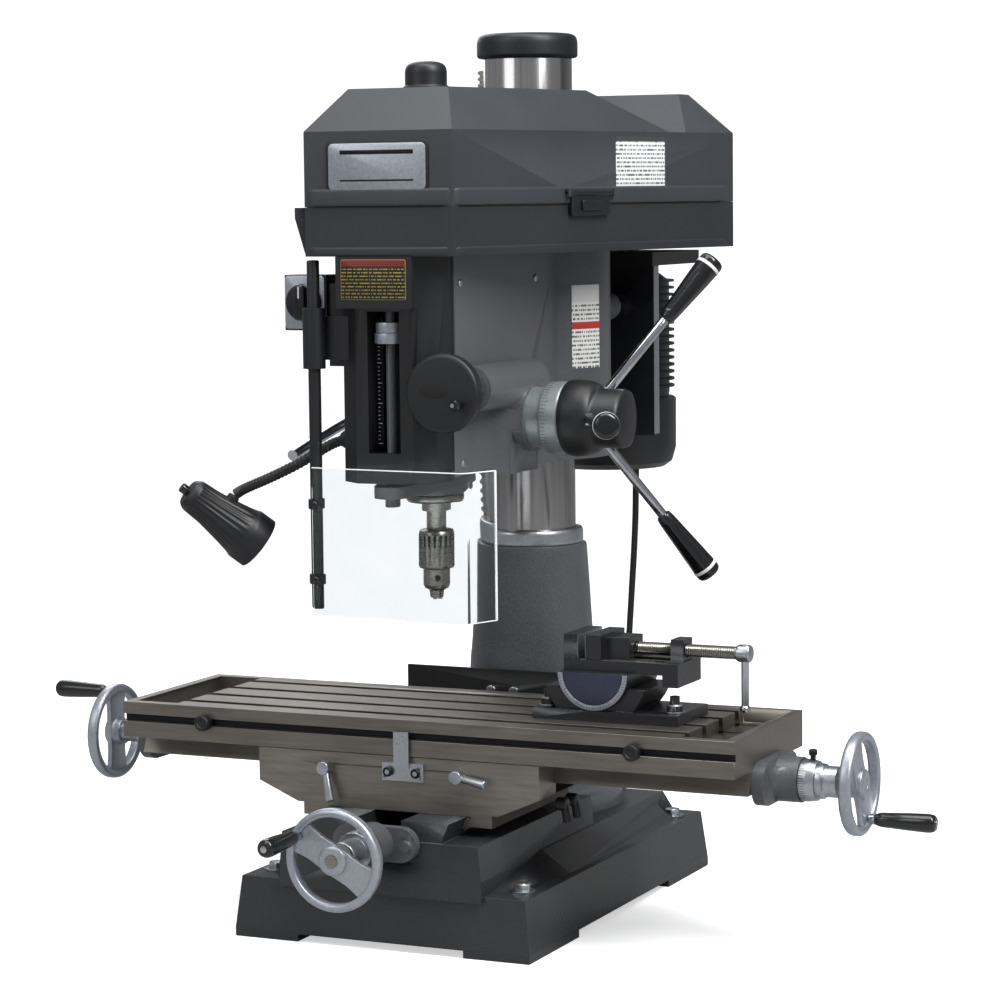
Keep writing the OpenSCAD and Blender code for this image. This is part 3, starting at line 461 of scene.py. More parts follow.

# %% [markdown]
# The guard is clear sheet: light passes with little bend, and its cut edges are frosted, made bright by a
# painted glow.

# %% Clear sheet and its edges
CLEAR = finish_of("clear polycarbonate", "#eef1f2", "#e4e9ea", 30.0, (0.02, 0.05), bump=0.001,
                  Transmission_Weight=1.0, IOR=1.2)
# The edge finish glows a little: a painted glow, not a lamp.
EDGE = finish_of("frosted sheet edge with painted glow", "#ffffff", "#e6ecee", 2.0, (0.3, 0.4), bump=0.01,
                 Emission_Color=(1, 1, 1, 1), Emission_Strength=0.25)


# %% [markdown]
# Printed plates: rows of short dashes stand for print, cut by noise so that no two rows are alike.

# %% Printed finish
def printed(name, paper, ink, along, pitch, band_from, band_ink, fill=0.45):
    """Rows `pitch` mm apart up Z. A dash shows where a noise along axis number `along` is high. Above
    the height band_from there is a solid band instead."""
    mat = finish_of(name, paper, paper, 3.0, (0.4, 0.5), bump=0.005)
    tree = mat.node_tree
    shader = tree.nodes["Principled BSDF"]
    place = add(tree, "ShaderNodeTexCoord").outputs["Object"]
    part = add(tree, "ShaderNodeSeparateXYZ", {0: place})
    row = add(tree, "ShaderNodeMath", {0: part.outputs[2], 1: 1000 / pitch}, operation="MULTIPLY")
    frac = add(tree, "ShaderNodeMath", {0: row.outputs[0]}, operation="FRACT")
    line = add(tree, "ShaderNodeMath", {0: frac.outputs[0], 1: fill}, operation="LESS_THAN")
    stair = add(tree, "ShaderNodeMath", {0: row.outputs[0]}, operation="FLOOR")
    across = add(tree, "ShaderNodeMath", {0: part.outputs[along], 1: 380.0}, operation="MULTIPLY")
    spot = add(tree, "ShaderNodeCombineXYZ", {0: across.outputs[0], 1: stair.outputs[0]})
    noise = add(tree, "ShaderNodeTexNoise", {"Vector": spot.outputs[0], "Scale": 1.0, "Detail": 0.0})
    word = add(tree, "ShaderNodeMath", {0: noise.outputs["Fac"], 1: 0.47}, operation="GREATER_THAN")
    mark = add(tree, "ShaderNodeMath", {0: line.outputs[0], 1: word.outputs[0]}, operation="MULTIPLY")
    base = shader.inputs["Base Color"].links[0].from_socket
    colour = mixed(tree, mark.outputs[0], base, linear(ink))
    above = add(tree, "ShaderNodeMath", {0: part.outputs[2], 1: band_from / 1000}, operation="GREATER_THAN")
    colour = mixed(tree, above.outputs[0], colour.outputs[2], linear(band_ink))
    tree.links.new(colour.outputs[2], shader.inputs["Base Color"])
    return mat


CHART = printed("white chart print", "#eceded", "#5a5d60", 1, 5.2, 958, "#3a3d40")
NOTICE = printed("dark notice print", "#101112", "#a3902c", 0, 4.1, 811.5, "#6f1717", 0.3)
ADVICE = printed("white notice print", "#e9e8e4", "#6a6b6d", 1, 5.6, 756, "#d9d9d6")
print("finishes:", len(bpy.data.materials))

# %% [markdown]
# ## The power cord
# It leaves a rubber gland under the motor's junction box, hangs behind the machine, and the rest lies
# on the floor in a flat coil, so it shows only where it hangs. The coil is wound top outer, top inner,
# bottom inner, bottom outer, and each change of lane has an angle of its own, so no turn meets another.

# %% Cord and plug
CORD_D = 9.0
coil_x, coil_y = -74.0, 470.0
outer, inner, upper, lower = 54.6, 45.2, 14.1, 4.6
drop = [[-6, 545, 560], [-6, 545, 530], [-7, 545, 490], [-8, 545, 440], [-10, 544, 390], [-13, 543, 340],
        [-16, 542, 290], [-19, 541, 240], [-21, 540, 190], [-22, 539, 140], [-22, 537, 95], [-22, 533, 68],
        [-22.6, 529.5, 50], [-26.5, 526.5, 33], [-35.5, 525.1, 21], [-49, 524.6, 15.2], [-62, 524.6, 14.1]]
lap = np.linspace(0.03, 3.45, 330)
lane = np.interp(lap, [0, 0.85, 1.0, 2.48, 2.65, 4], [outer, outer, inner, inner, outer, outer])
layer = np.interp(lap, [0, 1.65, 1.82, 4], [upper, upper, lower, lower])
angle = math.pi / 2 + 2 * math.pi * lap
coil = np.stack([coil_x + lane * np.cos(angle), coil_y + lane * np.sin(angle), layer], 1)
tail = smooth_line([coil[-1], [-81, 414.8, 4.6], [-71.9, 411.9, 4.6], [-53.3, 409, 4.7], [-37, 411.3, 5.5],
                    [-23.3, 417, 7.5], [-10.3, 424.5, 10.0], [-6, 427, 10.5]], 60)
cord_path = np.vstack([smooth_line(drop, 170), coil, tail[1:]])
flex = piece("power_flex", tube(cord_path, CORD_D / 2, 16), None, RUBBER, ("power_cord", "cord_coil"))
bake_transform(flex)

plug_x, plug_y = round_about(math.pi / 6), round_about(math.pi * 2 / 3)
plug_at = np.array([-10.3, 424.5, 0.5])
outline = soften([[0, -7], [12, -12], [16, -15], [30, -15], [30, 15], [16, 15], [12, 12], [0, 7]], 4)
plug = piece("power_plug_body", prism(outline, 0, 24, 4, plug_at, plug_x, plug_y), "swivel", RUBBER,
             ("power_plug",))
blades = [prism(rect(19, 1.6, 0.4, 39, y), 9.5, 15.5, 0.4, plug_at, plug_x, plug_y) for y in (-6.5, 6.5)]
pins = piece("power_plug_pins", joined(*blades), "swivel", ZINC)
rings = [(5.2 + 3.6 * (z - 546) / 46 - (0.9 if k % 2 else 0), z)
         for k, z in enumerate(np.linspace(548, 592, 13))]
gland = [(0, 546), (5.2, 546), *rings, (10.5, 593), (10.5, 600), (0, 600)]
piece("cord_relief", lathe(gland, (-6, 545, 0), n=32), "head", RUBBER, ("cord_gland",))

# %% [markdown]
# ## Base and column
# The castings keep the CAD's shape with their edges rounded by a few millimetres. The column parts are
# turned profiles.

# %% Base, stand and column
# The base casting's dark finish is partly painted shade.
softened("base_casting", 7, BASE_DARK_AND_SHADED, shortest=30)


def hex_bolt(at, across=19.0, tall=9.0, axis=Z, turn=0.3, washer=15.0):
    """A hexagonal head with a chamfered crown on a washer."""
    u, v, _ = frame_of(axis)
    t = np.arange(6) * math.pi / 3 + turn
    six = soften(np.stack([np.cos(t), np.sin(t)], 1) * across / math.sqrt(3), 0.8, 3)
    at = np.asarray(at, float)
    crown = [[0, tall - 0.6], [across * 0.42, tall - 0.6], [across * 0.38, tall + 0.5], [0, tall + 0.5]]
    return joined(peg(washer, 0, 2.2, at, axis, edge=0.5), prism(six, 2, tall, 1.0, at, u, v),
                  lathe(soften(crown, 0.3, 3, False), at, axis, 32))


corners = [(x, y, 74) for x in (-165, 165) for y in (-242, 242)]
anchors = [hex_bolt(c, 18, 10, turn=0.4 + i) for i, c in enumerate(corners)]
piece("anchor_bolts", joined(*anchors), "base", ZINC)
flare = smooth_line([[115, 98], [115, 113], [111, 116.6], [92, 118.5], [87.5, 127], [87, 150], [86, 200],
                     [82.6, 280], [79.2, 320], [74.6, 395], [71.9, 436]], 90)
flare = np.vstack([[[0, 98]], flare, [[71.2, 440], [68, 441], [0, 441]]])
piece("stand_turned", lathe(flare, (0, COL_Y, 0), n=96), "base", HAMMER, ("column_stand",))
COLUMN_AT = np.array([0, COL_Y, 0])
stand_bolts = [hex_bolt(COLUMN_AT + 103 * round_about(a) + 116.5 * Z, 18, 9, turn=a)
               for a in np.radians([45, 135, 225, 315])]
piece("stand_bolt_heads", joined(*stand_bolts), "base", ZINC, ("stand_bolts",))
piece("column_turned", peg(57.5, 111, 1068, (0, COL_Y, 0), n=128), "base", COLUMN, ("column_tube",))
ring = soften([[57.6, 441.2], [66.5, 441.2], [67.2, 444], [67.2, 457], [65.5, 461], [57.6, 461]], 1.2, 3)
screws = [peg(3.6, 0, 1.6, COLUMN_AT + 67 * round_about(a) + 451 * Z, round_about(a), n=20, edge=0)
          for a in (-1.1, 0.9, 2.9)]
piece("column_ring_turned", joined(lathe(ring, COLUMN_AT, n=96, loop=True), *screws), "base", ZINC,
      ("column_ring",), 40)
cap = soften([[0, 1068.2], [63, 1068.2], [65, 1071], [65, 1089], [63, 1096], [56, 1099], [0, 1099.4]],
             [0, 1, 1, 3, 4, 4, 0], 5, False)
piece("column_cap_turned", lathe(cap, (0, COL_Y, 0), n=96), "base", BLACK, ("column_cap",))
set_way = np.array([math.sin(0.25), -math.cos(0.25), 0])
set_screw = lathe([(0, 0), (4.2, 0), (4.2, 0.5), (2.4, 0.5), (2.4, -2), (0, -2)],
                  COLUMN_AT + 64.6 * set_way + 1081 * Z, set_way, 24)
piece("cap_set_screw", set_screw, "base", DARK_MARKS_AND_SHADE)
softened("way_cover", 1.0, RUBBER)
button = soften([[0, 0], [7.3, 0], [7.3, 3.4], [6.2, 5.6], [0, 5.8]], 0.8, 3, False)
piece("cover_screws", joined(*[lathe(button, (x, 70, 258), -Y, 36) for x in (-16, 16)]), "base", ZINC)
softened("y_bearing", 1.5, HAMMER)

# %% [markdown]
# ## Saddle and table
# Both are ground iron: bright on the working faces, duller on the machined sides.

# %% Saddle and table
softened("saddle", 1.5, SIDE_IRON, shortest=12)
softened("table", 1.2, IRON, shortest=12)
softened("stop_bracket", 0.9, ZINC)
softened("x_bearings", 2.5, HAMMER)
# A dark strip at the back of the table's front groove: painted shade.
groove = slab((TABLE["x0"] + 1, TABLE["y0"] + 6.6, 246.4), (TABLE["x1"] - 1, TABLE["y0"] + 7.4, 254.6),
              0.1, 0.1)
piece("groove_shade", groove, "table", DARK_MARKS_AND_SHADE)


def knurled_knob(at, axis, radius, tall, n=72):
    """A knob with a ribbed wall, a chamfer and a shallow hollow in its face."""
    p = [(0, 0), (radius - 0.8, 0), (radius, 0.8), (radius, tall - 1.2), (radius - 1.2, tall),
         (radius * 0.55, tall), (radius * 0.5, tall - 1), (0, tall - 1)]
    return lathe(p, at, axis, n, ribs=24, depth=0.7, rows=(0.5, tall - 0.9))


for which, x in (("left", -261.0), ("right", 308.0)):
    foot = slab((x - 9, TABLE["y0"] - 1, 246.4), (x + 9, TABLE["y0"] + 6.4, 254.6), 0.4, 0.4)
    piece(f"stop_{which}_knob", joined(foot, knurled_knob((x, TABLE["y0"] - 0.3, 250.5), -Y, 10, 10.7)),
          f"stop_{which}", BLACK, (f"table_stop_{which}",))
socket_head = [(0, 0), (5.6, 0), (5.9, 0.6), (5.9, 4.6), (5.2, 5.4), (3.1, 5.4), (3.1, 3), (0, 3)]
for x in (-8.0, 29.0):
    piece(f"bracket_screw_{int(x) + 8}", lathe(socket_head, (x, -246, 207), -Y, 36), "cross_slide",
          DARK_STEEL)


def pin_lever(at, axis, along, tall, arm):
    """A boss with a straight tapered pin that leans a little away from it."""
    at, axis, along = (np.asarray(v, float) for v in (at, axis, along))
    lean = along * math.cos(0.2) + axis * math.sin(0.2)
    boss = peg(8.3, -0.2, tall, at, axis, edge=1.2, steps=4)
    taper = soften([[0, -6], [4.4, -6], [5.3, arm], [0, arm]], 1.5, 4, False)
    return joined(boss, lathe(taper, at + axis * tall * 0.5, lean, 28))


for which, x, turn in (("left", -92.5, 74), ("right", 84.4, 8)):
    along = math.cos(math.radians(turn)) * X - math.sin(math.radians(turn)) * Z
    lever = pin_lever((x, -242.3, 206.5), -Y, along, 15, 42)
    piece(f"table_lock_{which}", lever, f"x_lock_{which}", ZINC, (f"x_lock_{which}",))
for which, y in (("front", -195.0), ("rear", -165.0)):
    boss = lathe(soften([[0, 0], [8, 0], [8, 13], [0, 14]], 1.5, 4, False), (190, y, 172.5), X, 36)
    arm = lathe(soften([[0, 0], [4.5, 0], [5.5, 22], [0, 22]], 2, 4, False), (199, y, 172.5),
                (math.sin(0.21), 0, -math.cos(0.21)), 24)
    piece(f"slide_lock_{which}", joined(boss, arm), f"y_lock_{which}", BLACK, (f"y_lock_{which}",))

# %% [markdown]
# ## Handwheels
# A round rim, a broad flat web across it and a hub. The grip is a waisted turned handle on a bright
# shoulder. The screw collars carry graduated drums, with fine dark lines on the right and cross ones.


# %% Handwheel shapes
def wheel(at, axis, turn, n=96):
    """Rim: a rounded section turned about the axis. Web: a bar with rounded edges from rim to rim that
    widens at its ends, on a turned hub."""
    u, v, _ = frame_of(axis)
    a, b = math.cos(turn) * u + math.sin(turn) * v, -math.sin(turn) * u + math.cos(turn) * v
    rim = soften([[50.5, -6], [57.5, -8.4], [61, -5], [61, 4.5], [57, 8], [51, 6.5]], 3, 5)
    bar = soften([[-53, -21], [-30, -16.5], [0, -18], [30, -16.5], [53, -21], [53, 21], [30, 16.5], [0, 18],
                  [-30, 16.5], [-53, 21]], 9, 5)
    hub = soften([[0, -13.8], [16.5, -13.8], [17, -5], [19, -3.5], [17.5, 6.5], [14, 8], [7.5, 8], [7, 6.8],
                  [0, 6.8]], 1.2, 4, False)
    return joined(lathe(rim, at, axis, n, loop=True), prism(bar, -4, 3.2, 1.6, at, a, b),
                  lathe(hub, at, axis, 64))


def handle(at, axis, n=40):
    """The waisted grip of a machine handle."""
    p = smooth_line([[6.8, 7], [8.6, 14], [9.2, 26], [10.4, 48], [11.1, 68], [10.3, 76], [7.6, 79.6]], 40)
    return lathe(np.vstack([[[0, 6.9]], p, [[0, 80]]]), at, axis, n)


def shoulder(at, axis):
    """The bright foot of a handle and its screw end."""
    return joined(lathe([(0, -1), (5.6, -1), (6.4, 2), (6.4, 6.5), (0, 6.9)], at, axis, 32),
                  peg(4.2, 79.6, 80.8, at, axis, n=24, edge=0.5))


def drum(at, axis, radius, length, marks=50):
    """A graduated collar: grooves run in from its rim on a bevelled end."""
    p = soften([[0, 0], [radius, 0], [radius, length * 0.5], [radius - 1.5, length], [0, length]],
               0.8, 4, False)
    dial = lathe(p, at, axis, 96)
    u, v, w = frame_of(axis)
    lines = []
    for k in range(marks):
        t = 2 * math.pi * k / marks
        out = math.cos(t) * u + math.sin(t) * v
        tall = 0.34 if k % 5 else 0.5
        mark = rect(length * tall, 0.5, 0.1, length * tall / 2 + 0.4)
        lines.append(prism(mark, radius - 0.3, radius + 0.12, 0.05, at, w, np.cross(out, w)))
    return dial, joined(*lines)


# %% Handwheels in place
ax = np.array([0, TABLE["y"], SCREW_X_Z])
ay = np.array([0, 0, SCREW_Y_Z])
for which, body, at, axis, reach, stands_for in (
        ("right", "x_screw", ax + [543, 0, 0], X, [6, 21, -45], ("x_handwheels",)),
        ("left", "x_screw", ax + [-463, 0, 0], -X, [-6, 0, 51], ()),
        ("cross", "y_screw", ay + [0, -405, 0], -Y, [-45, -6, 26], ("y_handwheel",))):
    u, v, _ = frame_of(axis)
    grip_at = at + reach
    piece(f"wheel_{which}", wheel(at, axis, math.atan2(v @ reach, u @ reach)), body, ALLOY, stands_for)
    piece(f"grip_{which}", handle(grip_at, axis), body, GRIP)
    piece(f"grip_foot_{which}", shoulder(grip_at, axis), body, CHROME)
dial, lines = drum(ax + [474.5, 0, 0], X, 25, 19)
knob = joined(peg(3.2, 0, 8, ax + [486, 0, 24], Z, n=20, edge=0.6),
              knurled_knob(ax + [486, 0, 30], Z, 5.2, 7))
stepped = soften([[0, 0], [21, 0], [21, 8], [18.5, 11], [18.5, 26], [0, 26]], 1.2, 4, False)
sleeve = lathe(stepped, ax + [493, 0, 0], X, 64)
end = peg(9, 0, 14, ax + [518, 0, 0], X, n=32, edge=0)
piece("drum_right", joined(dial, sleeve, end), "x_screw", ZINC)
piece("drum_right_marks", lines, "x_screw", DARK_MARKS_AND_SHADE)
piece("drum_right_lock", knob, "x_screw", BLACK)
dial, _ = drum(ax + [-402, 0, 0], -X, 15, 16, 40)
end = peg(12.5, 0, 32, ax + [-418, 0, 0], -X, n=48, edge=0)
piece("collar_left", joined(dial, end), "x_screw", ZINC)
dial, lines = drum((0, -336, SCREW_Y_Z), -Y, 24, 20)
sleeve = peg(17, 0, 31, (0, -356, SCREW_Y_Z), -Y, n=64, edge=1.5, steps=4)
piece("drum_cross", joined(dial, sleeve), "y_screw", ZINC)
piece("drum_cross_marks", lines, "y_screw", DARK_MARKS_AND_SHADE)
print("pieces so far:", len(made))

# %% [markdown]
# ## The belt housing
# The lid is the largest plain surface, so its rounded corners and the lip round its joint matter most.

# %% Lid, pan and their fittings
softened("belt_pan", 4, PAN, shortest=40)
softened("belt_lid", 7, LID, shortest=40, segments=4)
side_line = [[97, -269], [230, 305], [105, 565], [-105, 565], [-230, 305], [-97, -269]]
rounded = soften(side_line, [16, 40, 30, 30, 40, 16], 8)
lip = soften([[-3, 882.2], [2.2, 882.2], [3.2, 884], [3.2, 900], [1.8, 902.4], [-3, 903.4]], 0.8, 3)
piece("lid_lip", band(rounded, lip), "lid", LID)
lower = soften([[-3, 823.4], [1.2, 823.4], [2.0, 825.4], [2.0, 832], [1.0, 834], [-3, 835]], 0.6, 3)
piece("pan_foot", band(rounded, lower), "head", PAN)
piece("lid_seam", band(rounded, [[-3, 880.2], [0.4, 880.2], [0.4, 882.4], [-3, 882.4]]), "head", DARK_MARKS_AND_SHADE)
dome = soften([[0, 1021.5], [28, 1021.5], [28, 1024.5], [25.5, 1026], [25.5, 1044], [23, 1051], [14, 1054.5],
               [0, 1055]], [0, 1, 1, 1, 3, 5, 5, 0], 5, False)
piece("drawbar_dome", lathe(dome, (-5, SPINDLE_Y - 3, 0), n=72), "lid", BLACK, ("drawbar_cap",))


def wall_at(y, z=0.0):
    """A place on the lid's right wall, which runs from (97, -269) to (230, 305)."""
    return np.array([97 + (y + 269) * 133 / 574, y, z])


latch_at = wall_at(-11, 889)
plate = soften([[-40, -22], [40, -22], [40, 6], [-40, 6]], 3, 4)
plate = prism(plate, 0.8, 7.2, 1.6, latch_at, WALL_ALONG, Z)
raised = prism(rect(44, 13, 3, 0, -9), 6.8, 10.5, 1.4, latch_at, WALL_ALONG, Z)
knuckle = peg(4.3, -44, 44, latch_at + 5 * WALL_OUT + 6 * Z, WALL_ALONG, n=28, steps=4)
piece("latch_plate", joined(plate, raised, knuckle), "latch", BLACK, ("lid_latch",))

# %% Plates and print on the housing
for name, (w, h, r, z), (low, high, edge), mat in (
        ("badge_edge", (134, 62, 9, 928), (0.2, 1.6, 0.6), BLACK),
        ("badge_face", (127, 55, 7, 928), (1.2, 2.4, 0.5), ALLOY),
        ("badge_bar", (96, 5, 1, 945), (2.2, 2.8, 0.2), DARK_STEEL),
        ("badge_line", (96, 2, 0.6, 912), (2.2, 2.8, 0.2), DARK_STEEL)):
    piece(name, prism(rect(w, h, r, 0, z), low, high, edge, (0, -269, 0), X, Z), "lid", mat)
chart = prism(rect(106, 66, 3, 0, 931), 0.1, 0.7, 0.2, wall_at(100), WALL_ALONG, Z)
piece("chart_plate", chart, "lid", CHART)
print("housing done:", len(made))

# %% [markdown]
# ## The head
# The casting has a softly hammered skin. Its front cover is a separate black housing with a tall window,
# where the depth scale and the two-step nut are.

# %% Head casting and its cover
softened("head_casting", 3, HEAD, shortest=14)
softened("front_housing", 2.5, BLACK, shortest=10)
# A dark sheet at the back of the window: painted shade.
piece("window_shade", slab((-20.6, -219.6, 590.5), (20.6, -218.8, 757.5), 0.2, 0.2), "head", DARK_MARKS_AND_SHADE)
piece("scale_plate", joined(slab((-20.4, -236, 596), (-12.5, -234, 750), 0.4, 0.4),
                            slab((12.5, -236, 596), (20.4, -234, 750), 0.4, 0.4)), "head", DARK_STEEL)
marks = []
for k in range(31):
    z = 600 + 4.8 * k
    wide = 5.5 if k % 5 == 0 else 3.0
    marks += [slab((a, -236.5, z), (b, -235.8, z + 0.8), 0.1, 0.1)
              for a, b in ((-19.6, wide - 20), (20 - wide, 19.6))]
piece("scale_marks", joined(*marks), "head", WHITE)
piece("notice_plate", prism(rect(84, 46, 2, -6, 796), 0.1, 0.7, 0.2, (0, -272, 0), X, Z), "head", NOTICE)
rim = rect(85.4, 47.4, 2.6, -6, 796)
YELLOW = finish_of("yellow print", "#a3902c", "#8c7a22", 3.0, (0.4, 0.5))
piece("notice_rim", prism(rim, 0.02, 0.3, 0.04, (0, -272, 0), X, Z), "head", YELLOW)
nut = joined(hoop(6.1, 19, 720, 732.6, (0, -240, 0), n=96, edge=0.8),
             hoop(6.1, 17.5, 733, 745, (0, -240, 0), n=96, edge=0.8))
piece("depth_nut_turned", nut, "depth_nut", ALLOY, ("depth_nut",))
crests = [(6.0 if k % 2 else 5.3, 551.0 + k) for k in range(238)]
piece("depth_screw", lathe([(0, 530), *crests, (0, 790)], (0, -240, 0), n=28), "quill", STEEL)
softened("depth_bracket", 2, HEAD)
SPINDLE_AT = np.array([0, SPINDLE_Y, 0])
quill = lathe([(0, 524.4), (36.5, 524.4), (37.4, 525.5), (37.4, 780), (0, 780)], SPINDLE_AT, n=96)
piece("quill_turned", quill, "quill", STEEL, ("quill",))

# %% [markdown]
# ## Spindle and chuck
# The chuck is turned steel: a ribbed sleeve over a smooth body, three key holes and three jaws.

# %% Spindle nose and chuck
nose = [(0, 484.6), (12, 484.6), (12, 505), (17.8, 505), (17.8, 515.8), (35, 515.8), (36.8, 518),
        (36.8, 523.6), (21.8, 523.8), (21.8, 754), (13.9, 760), (13.9, 985), (8, 985), (8, 1008), (0, 1008)]
piece("spindle_turned", lathe(soften(nose, 0.6, 3, False), SPINDLE_AT, n=64), "spindle", STEEL,
      ("spindle",))
CHUCK_AT = SPINDLE_AT + NOSE_Z * Z
chuck = soften([[0, 2], [8, 2], [9, 10], [14.5, 12.5], [16.3, 16], [16.3, 33.5], [21, 34.5], [22, 37],
                [22, 71], [20.5, 75.5], [12, 76.8], [0, 76.8]], 0.8, 4, False)
piece("chuck_body", lathe(chuck, CHUCK_AT, n=180, ribs=18, depth=2.0, rows=(38, 71)), "spindle", STEEL,
      ("drill_chuck",))
# A dark ring under the ribs shows in their hollows: painted shade in the flutes.
flutes = [(19, 38.5), (20.9, 38.5), (20.9, 70.5), (19, 70.5)]
piece("chuck_flute_shade", lathe(flutes, CHUCK_AT, n=64, loop=True), "spindle", DARK_MARKS_AND_SHADE)
# Dark discs at the key holes: painted shade.
holes = [peg(3.6, 0, 0.4, CHUCK_AT + 16.1 * round_about(a) + 24 * Z, round_about(a), n=24, edge=0)
         for a in np.radians([-60, 60, 180])]
piece("chuck_key_hole_shade", joined(*holes), "spindle", DARK_MARKS_AND_SHADE)
jaws = [prism(rect(5.5, 3.6, 0.5, 4.2, 0), 0, 9, 0.8, CHUCK_AT, round_about(a), round_about(a + math.pi / 2))
        for a in np.radians([30, 150, 270])]
piece("chuck_jaws", joined(*jaws), "spindle", ZINC)
print("spindle done:", len(made))

# %% [markdown]
# ## Quill feed
# Three bright levers leave a black hub, leaning out of its disc. Each ends in a long tapered grip with
# flat facets and a white ring. The sleeve behind it is a dull grey-green with a graduated ring.

# %% Capstan
sleeve = soften([[14.2, 106.4], [36, 106.4], [37, 108], [37, 134], [14.2, 134]], 1.2, 4)
ring = soften([[30, 132.2], [43, 132.2], [44, 134], [44, 155], [42, 158], [30, 158]], 1.2, 4)
sleeves = joined(lathe(sleeve, CAPSTAN, X, 96, loop=True), lathe(ring, CAPSTAN, X, 128, loop=True),
                 peg(14, 60, 150, CAPSTAN, X, n=48, edge=0))
piece("feed_sleeve", sleeves, "capstan", GREEN_GREY, ("capstan_hub",))
_, lines = drum(CAPSTAN + [134, 0, 0], X, 44, 21, 60)
piece("feed_marks", lines, "capstan", DARK_MARKS_AND_SHADE)
hub = smooth_line([[45.5, 158.2], [47, 166], [46.5, 178], [43.5, 190], [38.5, 198]], 26)
hub = np.vstack([[[0, 158.2]], hub, [[37.2, 201], [37, 226], [35.5, 230.5], [31, 232.6], [0, 232.8]]])
piece("feed_hub", lathe(hub, CAPSTAN, X, 96, ribs=3, depth=2.6, rows=(196, 232.7)), "capstan", BLACK,
      (), 50)
FIRST_LEVER, LEVER_LEAN = -32.3, 28.6
rods, grips, rings = [], [], []
for k in range(3):
    turned = math.radians(FIRST_LEVER + 120 * k)
    lean = math.radians(LEVER_LEAN)
    across = np.array([0, -math.sin(turned), math.cos(turned)])
    along = math.sin(lean) * X + math.cos(lean) * across
    foot = CAPSTAN + [177, 0, 0]
    rods.append(peg(6, 28, 160, foot, along, edge=0.5))
    rods.append(peg(8.5, 34, 44, foot, along, n=6))
    grip = soften([[0, 157], [9, 157], [10.5, 166], [14.3, 222], [15.4, 244], [15.2, 252], [11.5, 255],
                   [0, 255]], [0, 2, 4, 6, 3, 3, 3, 0], 6, False)
    grips.append(lathe(grip, foot, along, 48, ribs=8, depth=1.0, rows=(168, 238)))
    ring = soften([[13, 240.5], [15.7, 240.5], [15.75, 244.5], [13, 244.5]], 0.3, 3)
    rings.append(lathe(ring, foot, along, 48, loop=True))
piece("feed_rods", joined(*rods), "capstan", CHROME, ("feed_levers",))
piece("feed_grips", joined(*grips), "capstan", GRIP, (), 40)
piece("feed_grip_rings", joined(*rings), "capstan", WHITE)

# %% Fine feed wheel
at = np.array([WORM[0], 0, WORM[1]])
disc = soften([[0, -280], [43, -280], [46.5, -277.5], [47, -274], [47, -265], [45, -261.3], [0, -261.3]],
              1.6, 4, False)
disc = lathe([(r, -h) for r, h in disc], at, -Y, 128, ribs=40, depth=0.8, rows=(264, 275))
piece("fine_wheel", disc, "fine_feed", BLACK, ("fine_feed_wheel",))
t = np.linspace(0, 2 * math.pi, 40, endpoint=False)
slot_shape = np.stack([-9 + 19 * np.cos(t), 3 - 8.5 * np.sin(t)], 1)
# A dark shape on the wheel's face stands for its recess: painted shade.
piece("fine_wheel_hollow_shade", prism(slot_shape, 279.95, 280.35, 0.1, at, X, Z), "fine_feed", DARK_MARKS_AND_SHADE)
knob_at = at + [25, 0, -12]
knob = smooth_line([[5.2, 280], [4.6, 284], [6.6, 290], [7, 297], [5.2, 301.5]], 20)
piece("fine_knob", lathe(np.vstack([[[0, 280]], knob, [[0, 302]]]), knob_at, -Y, 36), "fine_feed", GRIP)
piece("fine_knob_screw", peg(2.4, 301.6, 302.6, knob_at, -Y, n=20, edge=0), "fine_feed", ZINC)
dial, lines = drum(at + [0, -226, 0], -Y, 24, 20, 40)
collar = peg(21, 201.6, 227, at, -Y, n=64)
neck = peg(19, 245, 262, at, -Y, n=48, edge=0)
piece("fine_drum", joined(dial, collar, neck), "fine_feed", ZINC)
piece("fine_drum_marks", lines, "fine_feed", DARK_MARKS_AND_SHADE)

# %% Lifting crank, screws and notice on the casting
crank_line = smooth_line([[-151.5, 55, 608], [-170, 55, 608], [-182, 48, 607.5], [-188, 34, 606.5],
                          [-188, 0, 603.5], [-188, -60, 592], [-188, -141, 574]], 70)
shaft = peg(9, -152, -94, (0, 55, 608), X, edge=0)
piece("lift_crank", joined(tube(crank_line, 7, 24), shaft), "crank", CHROME, ("elevating_crank",))
heads = [lathe(soften([[0, 0], [4.4, 0], [4.4, 1.6], [3.2, 2.4], [0, 2.4]], 0.5, 3, False), p, X, 28)
         for p in ((71.9, -200, 790), (71.9, -196, 575), (71.9, 20, 790))]
piece("casting_screws", joined(*heads), "head", ZINC)
theta = np.linspace(-0.62, -0.15, 24)
arc = np.stack([105.6 * np.cos(theta), COL_Y + 105.6 * np.sin(theta)], 1)
inner = np.stack([105.05 * np.cos(theta[::-1]), COL_Y + 105.05 * np.sin(theta[::-1])], 1)
piece("advice_label", prism(np.vstack([arc, inner]), 672, 778, 0.05), "head", ADVICE)
RED = finish_of("red print", "#c2392c", "#ad3026", 3.0, (0.4, 0.5))
proud = arc * [1.0008, 1] + [0.1, 0]
piece("advice_stripe", prism(np.vstack([proud, inner]), 722, 731, 0.05), "head", RED)

# %% [markdown]
# ## Motor
# A finned black body hangs behind the column, with a smooth fan cowl below and a junction box behind.

